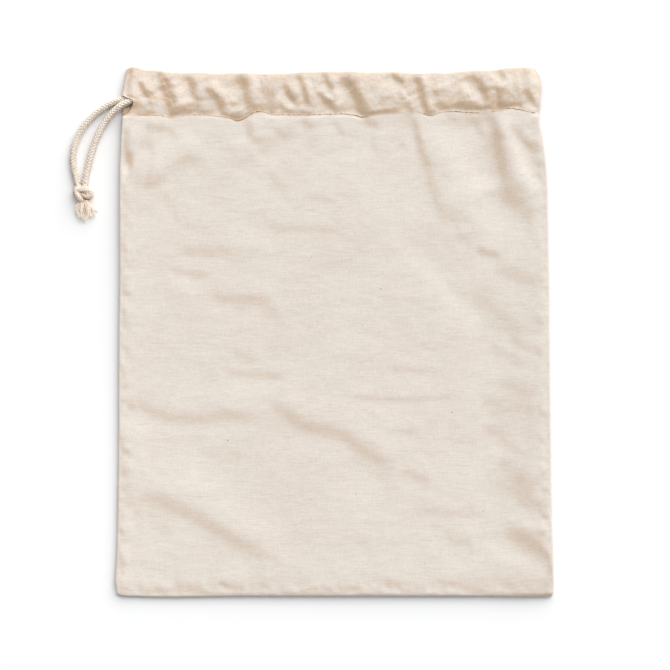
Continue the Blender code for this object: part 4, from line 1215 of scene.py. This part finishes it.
def hemPlaces(x0, y0, rows):
    # a hem inside the casing: its share of the way down, x, y, and 1 where it crosses the cord
    look = clothLook
    share = np.linspace(0, 1, rows)[:, None]
    hemX = x0 + (np.clip(x0, *look["hemEnds"]) - x0) * ease(share / look["hemDraw"])
    hemY = y0 + (alongTable(stitchRows, 1, x0) - look["hemBelow"] - y0) * share
    backRun = channelRoute[:14]
    over = np.exp(-(((hemY - alongTable(backRun, 1, hemX)) / look["hemOverCord"]) ** 2))
    return share, hemX, hemY, over


def makeFront():
    look = clothLook
    across = shareAcross(look["edgeSteps"], look["columns"])
    lowSteps = [step / look["bodyDepth"] for step in look["edgeSteps"]]
    bodyShares = lowSteps + list(np.linspace(lowSteps[-1], 1, look["bodyRows"])[1:-1])
    casingShares = np.linspace(0, 1, look["casingRows"])
    parts = []

    def bottomAt(x):
        return alongTable(bottomRows, 1, x)

    def stitchAt(x):
        return alongTable(stitchRows, 1, x)

    def levelAt(x):
        # where the top fold begins
        return alongTable(topRows, 1, x) - look["foldDepth"]

    for shares, startAt, endAt, inCasing in (
        (bodyShares, bottomAt, stitchAt, False),
        (casingShares, stitchAt, levelAt, True),
    ):
        u, v = np.meshgrid(across, shares)
        x, y = settle(u, lambda at: startAt(at) + (endAt(at) - startAt(at)) * v)
        z, tone = frontHeights(x, y, np.full_like(x, inCasing, bool))
        _, right, slotLeft = bagEdges(y)
        inside = np.minimum(x - slotLeft, right - x)
        if not inCasing:
            inside = np.minimum(inside, y - bottomAt(x))
        parts.append((x, y, z, shadedTone(x, y, z, tone, inside)))

    x0, y0, z0, tone0 = (rows[-1] for rows in parts[-1])
    parts.append(topFold(x0, y0, z0, tone0 + look["topTone"], -1))

    share, hemX, hemY, over = hemPlaces(x0, y0, look["hemRows"])
    level, rise = look["frontHem"]
    turned = ease(share / look["hemTurn"])
    hemZ = (z0 - look["hemStep"]) * (1 - turned) + (level + rise * over) * turned
    # it stays below the outer layer
    outer = frontHeights(hemX, np.minimum(hemY, y0 - 1.0), hemY > stitchAt(x0))[0]
    hemZ = np.minimum(hemZ, outer - look["hemGap"])
    parts.append((hemX, hemY, hemZ, np.full_like(hemX, look["insideTone"])))
    return clothPiece("frontCloth", parts, "front_panel")


backLook = {
    # the bottom edge curls up, but for the right corner. Heights, places and reaches in mm
    "lowCurl": 2.3,
    "cornerShare": 0.95,
    "cornerAt": (151.0, 11.0),
    "leftLess": 0.6,         # a little less towards the left
    "leftAt": (-150.0, 130.0),
    "lowRun": 8.0,
    "sideCurl": 0.3,
    "sideAt": (0.5, 5.0),
    # it stands up under the slot. Columns: height, x, reach along x, y, reach along y
    "slotRises": [(2.2, -145.0, 6.0, 151.6, 3.4), (1.9, -139.0, 3.4, 153.4, 2.6)],
    "lift": 0.02,
    "crumples": [(0.02, 20, 14, 3.3)],   # faint ones, columns as in the front's
    "tones": (0.15, 1.35),   # painted shade: of the body, and how much more in the casing, where the slot shows it
    "casingAt": (147.0, 4.0),
    # painted shade inside the hem
    "hemTone": 0.5,
    # the hem rises over the cord between these ends. Columns: x, run
    "overFrom": (-143.0, 18.0),
    "overTo": (141.0, -18.0),
}


def makeBack():
    look = clothLook
    back = backLook
    inset = look["backInset"]
    across = shareAcross(look["backSteps"], look["backColumns"])
    lowSteps = [step / look["backDepth"] for step in look["backSteps"]]
    shares = np.array(lowSteps + list(np.linspace(lowSteps[-1], 1, look["backRows"])[1:]))
    u, v = np.meshgrid(across, shares)
    x = np.interp(u, [0, 1], [-look["firstGuess"], look["firstGuess"]])
    for _ in range(4):
        low = alongTable(bottomRows, 1, x) + inset
        level = alongTable(topRows, 1, x) - inset - look["foldDepth"]
        y = low + (level - low) * v
        left, right, _ = bagEdges(y)
        x = left + inset + (right - left - 2 * inset) * u
    fromBottom = y - alongTable(bottomRows, 1, x) - inset
    inside = np.minimum(np.minimum(x - left - inset, right - inset - x), fromBottom)
    corner, reach = back["cornerAt"]
    lowCurl = back["lowCurl"] * (1 - back["cornerShare"] * np.exp(-(((x - corner) / reach) ** 2)))
    lowCurl = lowCurl - back["leftLess"] * (1 - easeFrom(x, *back["leftAt"]))
    sideCurl = back["sideCurl"] * (1 - easeFrom(inside, *back["sideAt"]))
    curl = np.maximum(lowCurl * (1 - ease(fromBottom / back["lowRun"])), sideCurl)
    for height, middleX, reachX, middleY, reachY in back["slotRises"]:
        curl += height * np.exp(-(((x - middleX) / reachX) ** 2) - ((y - middleY) / reachY) ** 2)
    z = look["backHeight"] + curl + back["lift"] + layered(x, y, back["crumples"])
    tone, slotTone = back["tones"]
    # painted shade, over the whole back and much more over its casing band
    parts = [(x, y, z, tone + slotTone * easeFrom(y, *back["casingAt"]))]

    x0, y0, z0 = x[-1], y[-1], z[-1]
    parts.append(topFold(x0, y0, z0, look["insideTone"], 1))
    share, hemX, hemY, over = hemPlaces(x0, y0, look["backHemRows"])
    over = over * easeFrom(hemX, *back["overFrom"]) * easeFrom(hemX, *back["overTo"])
    level, rise = look["backHem"]
    hemZ = level + (z0 + look["hemStep"] - level) * (1 - ease(share / look["hemTurn"])) + rise * over
    parts.append((hemX, hemY, hemZ, np.full_like(hemX, back["hemTone"])))
    return clothPiece("backCloth", parts, "back_panel")


backCloth = makeBack()
frontCloth = makeFront()

stitchLook = {
    "length": 2.7,
    "gap": 0.9,
    "radius": 0.24,
    "sides": 6,
    "below": 0.2,      # the row lies this far below the middle of the groove
    "wander": 0.35,    # how far it strays from its line
    "wanderRun": 5.0,
    "sunk": 0.13,      # how deep a stitch lies in the cloth
    "bow": 0.45,       # and how much deeper its ends go
    "holeFlat": 0.2,   # the holes are flat spots painted dark, partly needle holes and partly painted shade under the pulled thread
    "first": -135.0,
    "last": 140.0,
    "threadTones": (0.02, 0.4),    # the least, and how much more at most
    "holeTones": (0.08, 0.9),
    # painted shade at a stitch's ends, where it dives into the cloth
    "endTone": 0.6,
    # middle of each place where the gathers pull the row deep, and half its width
    "deepPlaces": [(-134, 4), (-110, 3), (-62, 8), (-25, 3), (20, 6), (36, 6), (64, 5), (83, 5), (95, 9),
                   (110, 4), (125, 7)],
    # painted shade where the row is pulled deep
    "deepTone": 0.55,
}
seedLook = {
    "sides": 6,
    "flat": 0.8,       # its width as a share of its length
    "top": 0.08,       # how far it stands out of the cloth
    "root": 0.1,       # and how far it goes in
}
# seeds of the cotton boll that stayed in the yarn. Columns: x, y, size, how dark
seedRows = [
    (32.6, 30.2, 0.9, 1.0), (81.6, -55.0, 1.0, 1.0), (-72.9, -74.2, 1.1, 1.0), (71.4, 43.2, 0.6, 0.7),
    (103.0, -122.6, 0.8, 0.9), (63.6, -105.4, 0.6, 0.6), (47.3, -59.0, 0.7, 0.7), (15.4, -111.4, 0.8, 0.8),
    (5.8, -97.6, 0.6, 0.6), (-43.2, -10.6, 0.8, 0.7), (-7.2, -2.6, 0.7, 0.7), (-9.6, -0.3, 0.6, 0.6),
    (19.7, 42.0, 0.6, 0.5), (-27.4, 26.4, 0.6, 0.5), (-18.0, -46.0, 0.7, 0.7), (132.4, -37.0, 0.6, 0.6),
    (30.0, -37.0, 0.5, 0.5), (20.0, 5.2, 0.8, 0.8), (61.0, 58.0, 0.5, 0.5), (-28.0, 92.0, 0.6, 0.6),
    (-126.0, -126.0, 0.6, 0.6), (62.6, -158.8, 0.7, 0.6), (110.6, -157.4, 0.5, 0.5),
    (-35.0, -145.0, 0.6, 0.5),
    (-27.0, -137.0, 0.7, 0.6), (-15.0, 51.6, 0.7, 0.6), (-17.4, 49.4, 0.7, 0.6), (-46.0, 67.0, 0.5, 0.5),
    (-94.0, 111.0, 0.5, 0.5), (26.0, 84.0, 0.5, 0.5), (-61.0, 13.0, 0.5, 0.5), (148.6, -56.4, 0.9, 0.8),
    (77.0, -123.0, 0.6, 0.6), (-78.0, 137.0, 0.5, 0.5), (-118.0, 150.0, 0.5, 0.4), (-104.0, -7.0, 0.5, 0.5),
]


def restingHeight(x, y):
    # the top of the front's cloth at these places
    x, y = np.atleast_1d(x).astype(float), np.atleast_1d(y).astype(float)
    z, _ = frontHeights(x, y, y > alongTable(stitchRows, 1, x))
    return z + clothLook["thickness"] / 2


def makeStitches():
    look = stitchLook
    rng = random.Random(8)
    points, faces, tones = [], [], []

    def sunk(at):
        # 1 where the row is pulled deep into the gathers
        return max(math.exp(-(((at - centre) / reach) ** 2)) for centre, reach in look["deepPlaces"])

    pace = look["length"] + look["gap"]
    starts = np.arange(look["first"], look["last"] - look["length"], pace)
    threads = starts[:, None] + np.linspace(0, look["length"], 6)
    holes = starts[:, None] + np.linspace(look["length"] - 0.2, pace + 0.2, 3)
    for places, isThread in ((threads, True), (holes, False)):
        rows = alongTable(stitchRows, 1, places) - look["below"]
        rows = rows + look["wander"] * noiseField(places, places * 0, look["wanderRun"], 1.0, 31.3)
        rises = restingHeight(places, rows) - (look["sunk"] if isThread else 0.0)
        least, most = look["threadTones"] if isThread else look["holeTones"]
        for x, y, z in zip(places, rows, rises):
            tone = least + rng.random() ** 2 * most
            bow = np.abs(np.linspace(-1, 1, len(x))) ** 3 * isThread
            line = np.stack([x, y, z - look["bow"] * bow], axis=1)
            _, side, up = framesAlong(line)
            width = np.ones(len(x)) * look["radius"]
            thick = width if isThread else width * look["holeFlat"]
            # painted shade: the holes, the stitches' ends and the deep places are darker
            addTube(points, faces, tones, line, side, up, width, thick, look["sides"],
                    tone + look["endTone"] * bow + look["deepTone"] * sunk(x[0]))
    piece = tonedPiece("casingStitches", points, faces, tones, sewingThread)
    onBag(piece, "cloth", "front_panel")
    return piece


def makeSeeds():
    look = seedLook
    rng = random.Random(5)
    points, faces, tones = [], [], []
    table = np.array(seedRows)
    count = look["sides"]
    for (x, y, size, dark), z in zip(seedRows, restingHeight(table[:, 0], table[:, 1])):
        first = len(points)
        turn = rng.uniform(0, math.pi)
        for k in range(count):
            angle = turn + 2 * math.pi * k / count
            reach = size / 2 * rng.uniform(0.75, 1.0)
            across, up = reach * math.cos(angle), look["flat"] * reach * math.sin(angle)
            points.append(np.array((x + across, y + up, z)))
        points.append(np.array((x, y, z + look["top"])))
        points.append(np.array((x, y, z - look["root"])))
        tones += [1 - dark] * (count + 2)
        for k in range(count):
            after = (k + 1) % count
            faces.append((first + k, first + after, first + count))
            faces.append((first + after, first + k, first + count + 1))
    piece = tonedPiece("seedFlecks", points, faces, tones, seedHusk)
    onBag(piece, "cloth", "front_panel")
    return piece


casingStitches = makeStitches()
seedFlecks = makeSeeds()
print("panels made")


def makeStage():
    look = stageLook
    half = look["floorReach"]
    points = [(-half, -half, 0), (half, -half, 0), (half, half, 0), (-half, half, 0)]
    # uncoated paper: matt, with hardly any gloss
    paper = bpy.data.materials.new("white background paper")
    paper.use_nodes = True
    surface = paper.node_tree.nodes["Principled BSDF"]
    surface.inputs["Base Color"].default_value = hexToLinear(look["floor"])
    surface.inputs["Roughness"].default_value = look["floorRoughness"]
    surface.inputs["Specular IOR Level"].default_value = look["floorGloss"]
    floor = meshPiece("studioFloor", points, [(0, 1, 2, 3)], paper)

    light = bpy.data.lights.new("softbox", "SUN")
    light.energy = look["keyStrength"]
    light.angle = math.radians(look["keySpread"])
    light.color = hexToLinear(look["keyColour"])[:3]
    key = bpy.data.objects.new("softbox", light)
    elevation = math.radians(look["keyElevation"])
    toward = Vector((
        math.cos(keyHeading) * math.cos(elevation),
        math.sin(keyHeading) * math.cos(elevation),
        math.sin(elevation),
    ))
    key.location = toward * look["keyDistance"]
    key.rotation_mode = "QUATERNION"
    key.rotation_quaternion = (-toward).to_track_quat("-Z", "Y")
    bpy.context.scene.collection.objects.link(key)

    world = bpy.data.worlds.new("white studio")
    world.use_nodes = True
    background = world.node_tree.nodes["Background"]
    background.inputs["Color"].default_value = hexToLinear(look["fillColour"])
    background.inputs["Strength"].default_value = look["fillStrength"]
    bpy.context.scene.world = world
    bpy.context.scene.view_settings.view_transform = "Standard"


makeStage()
print("stage made")
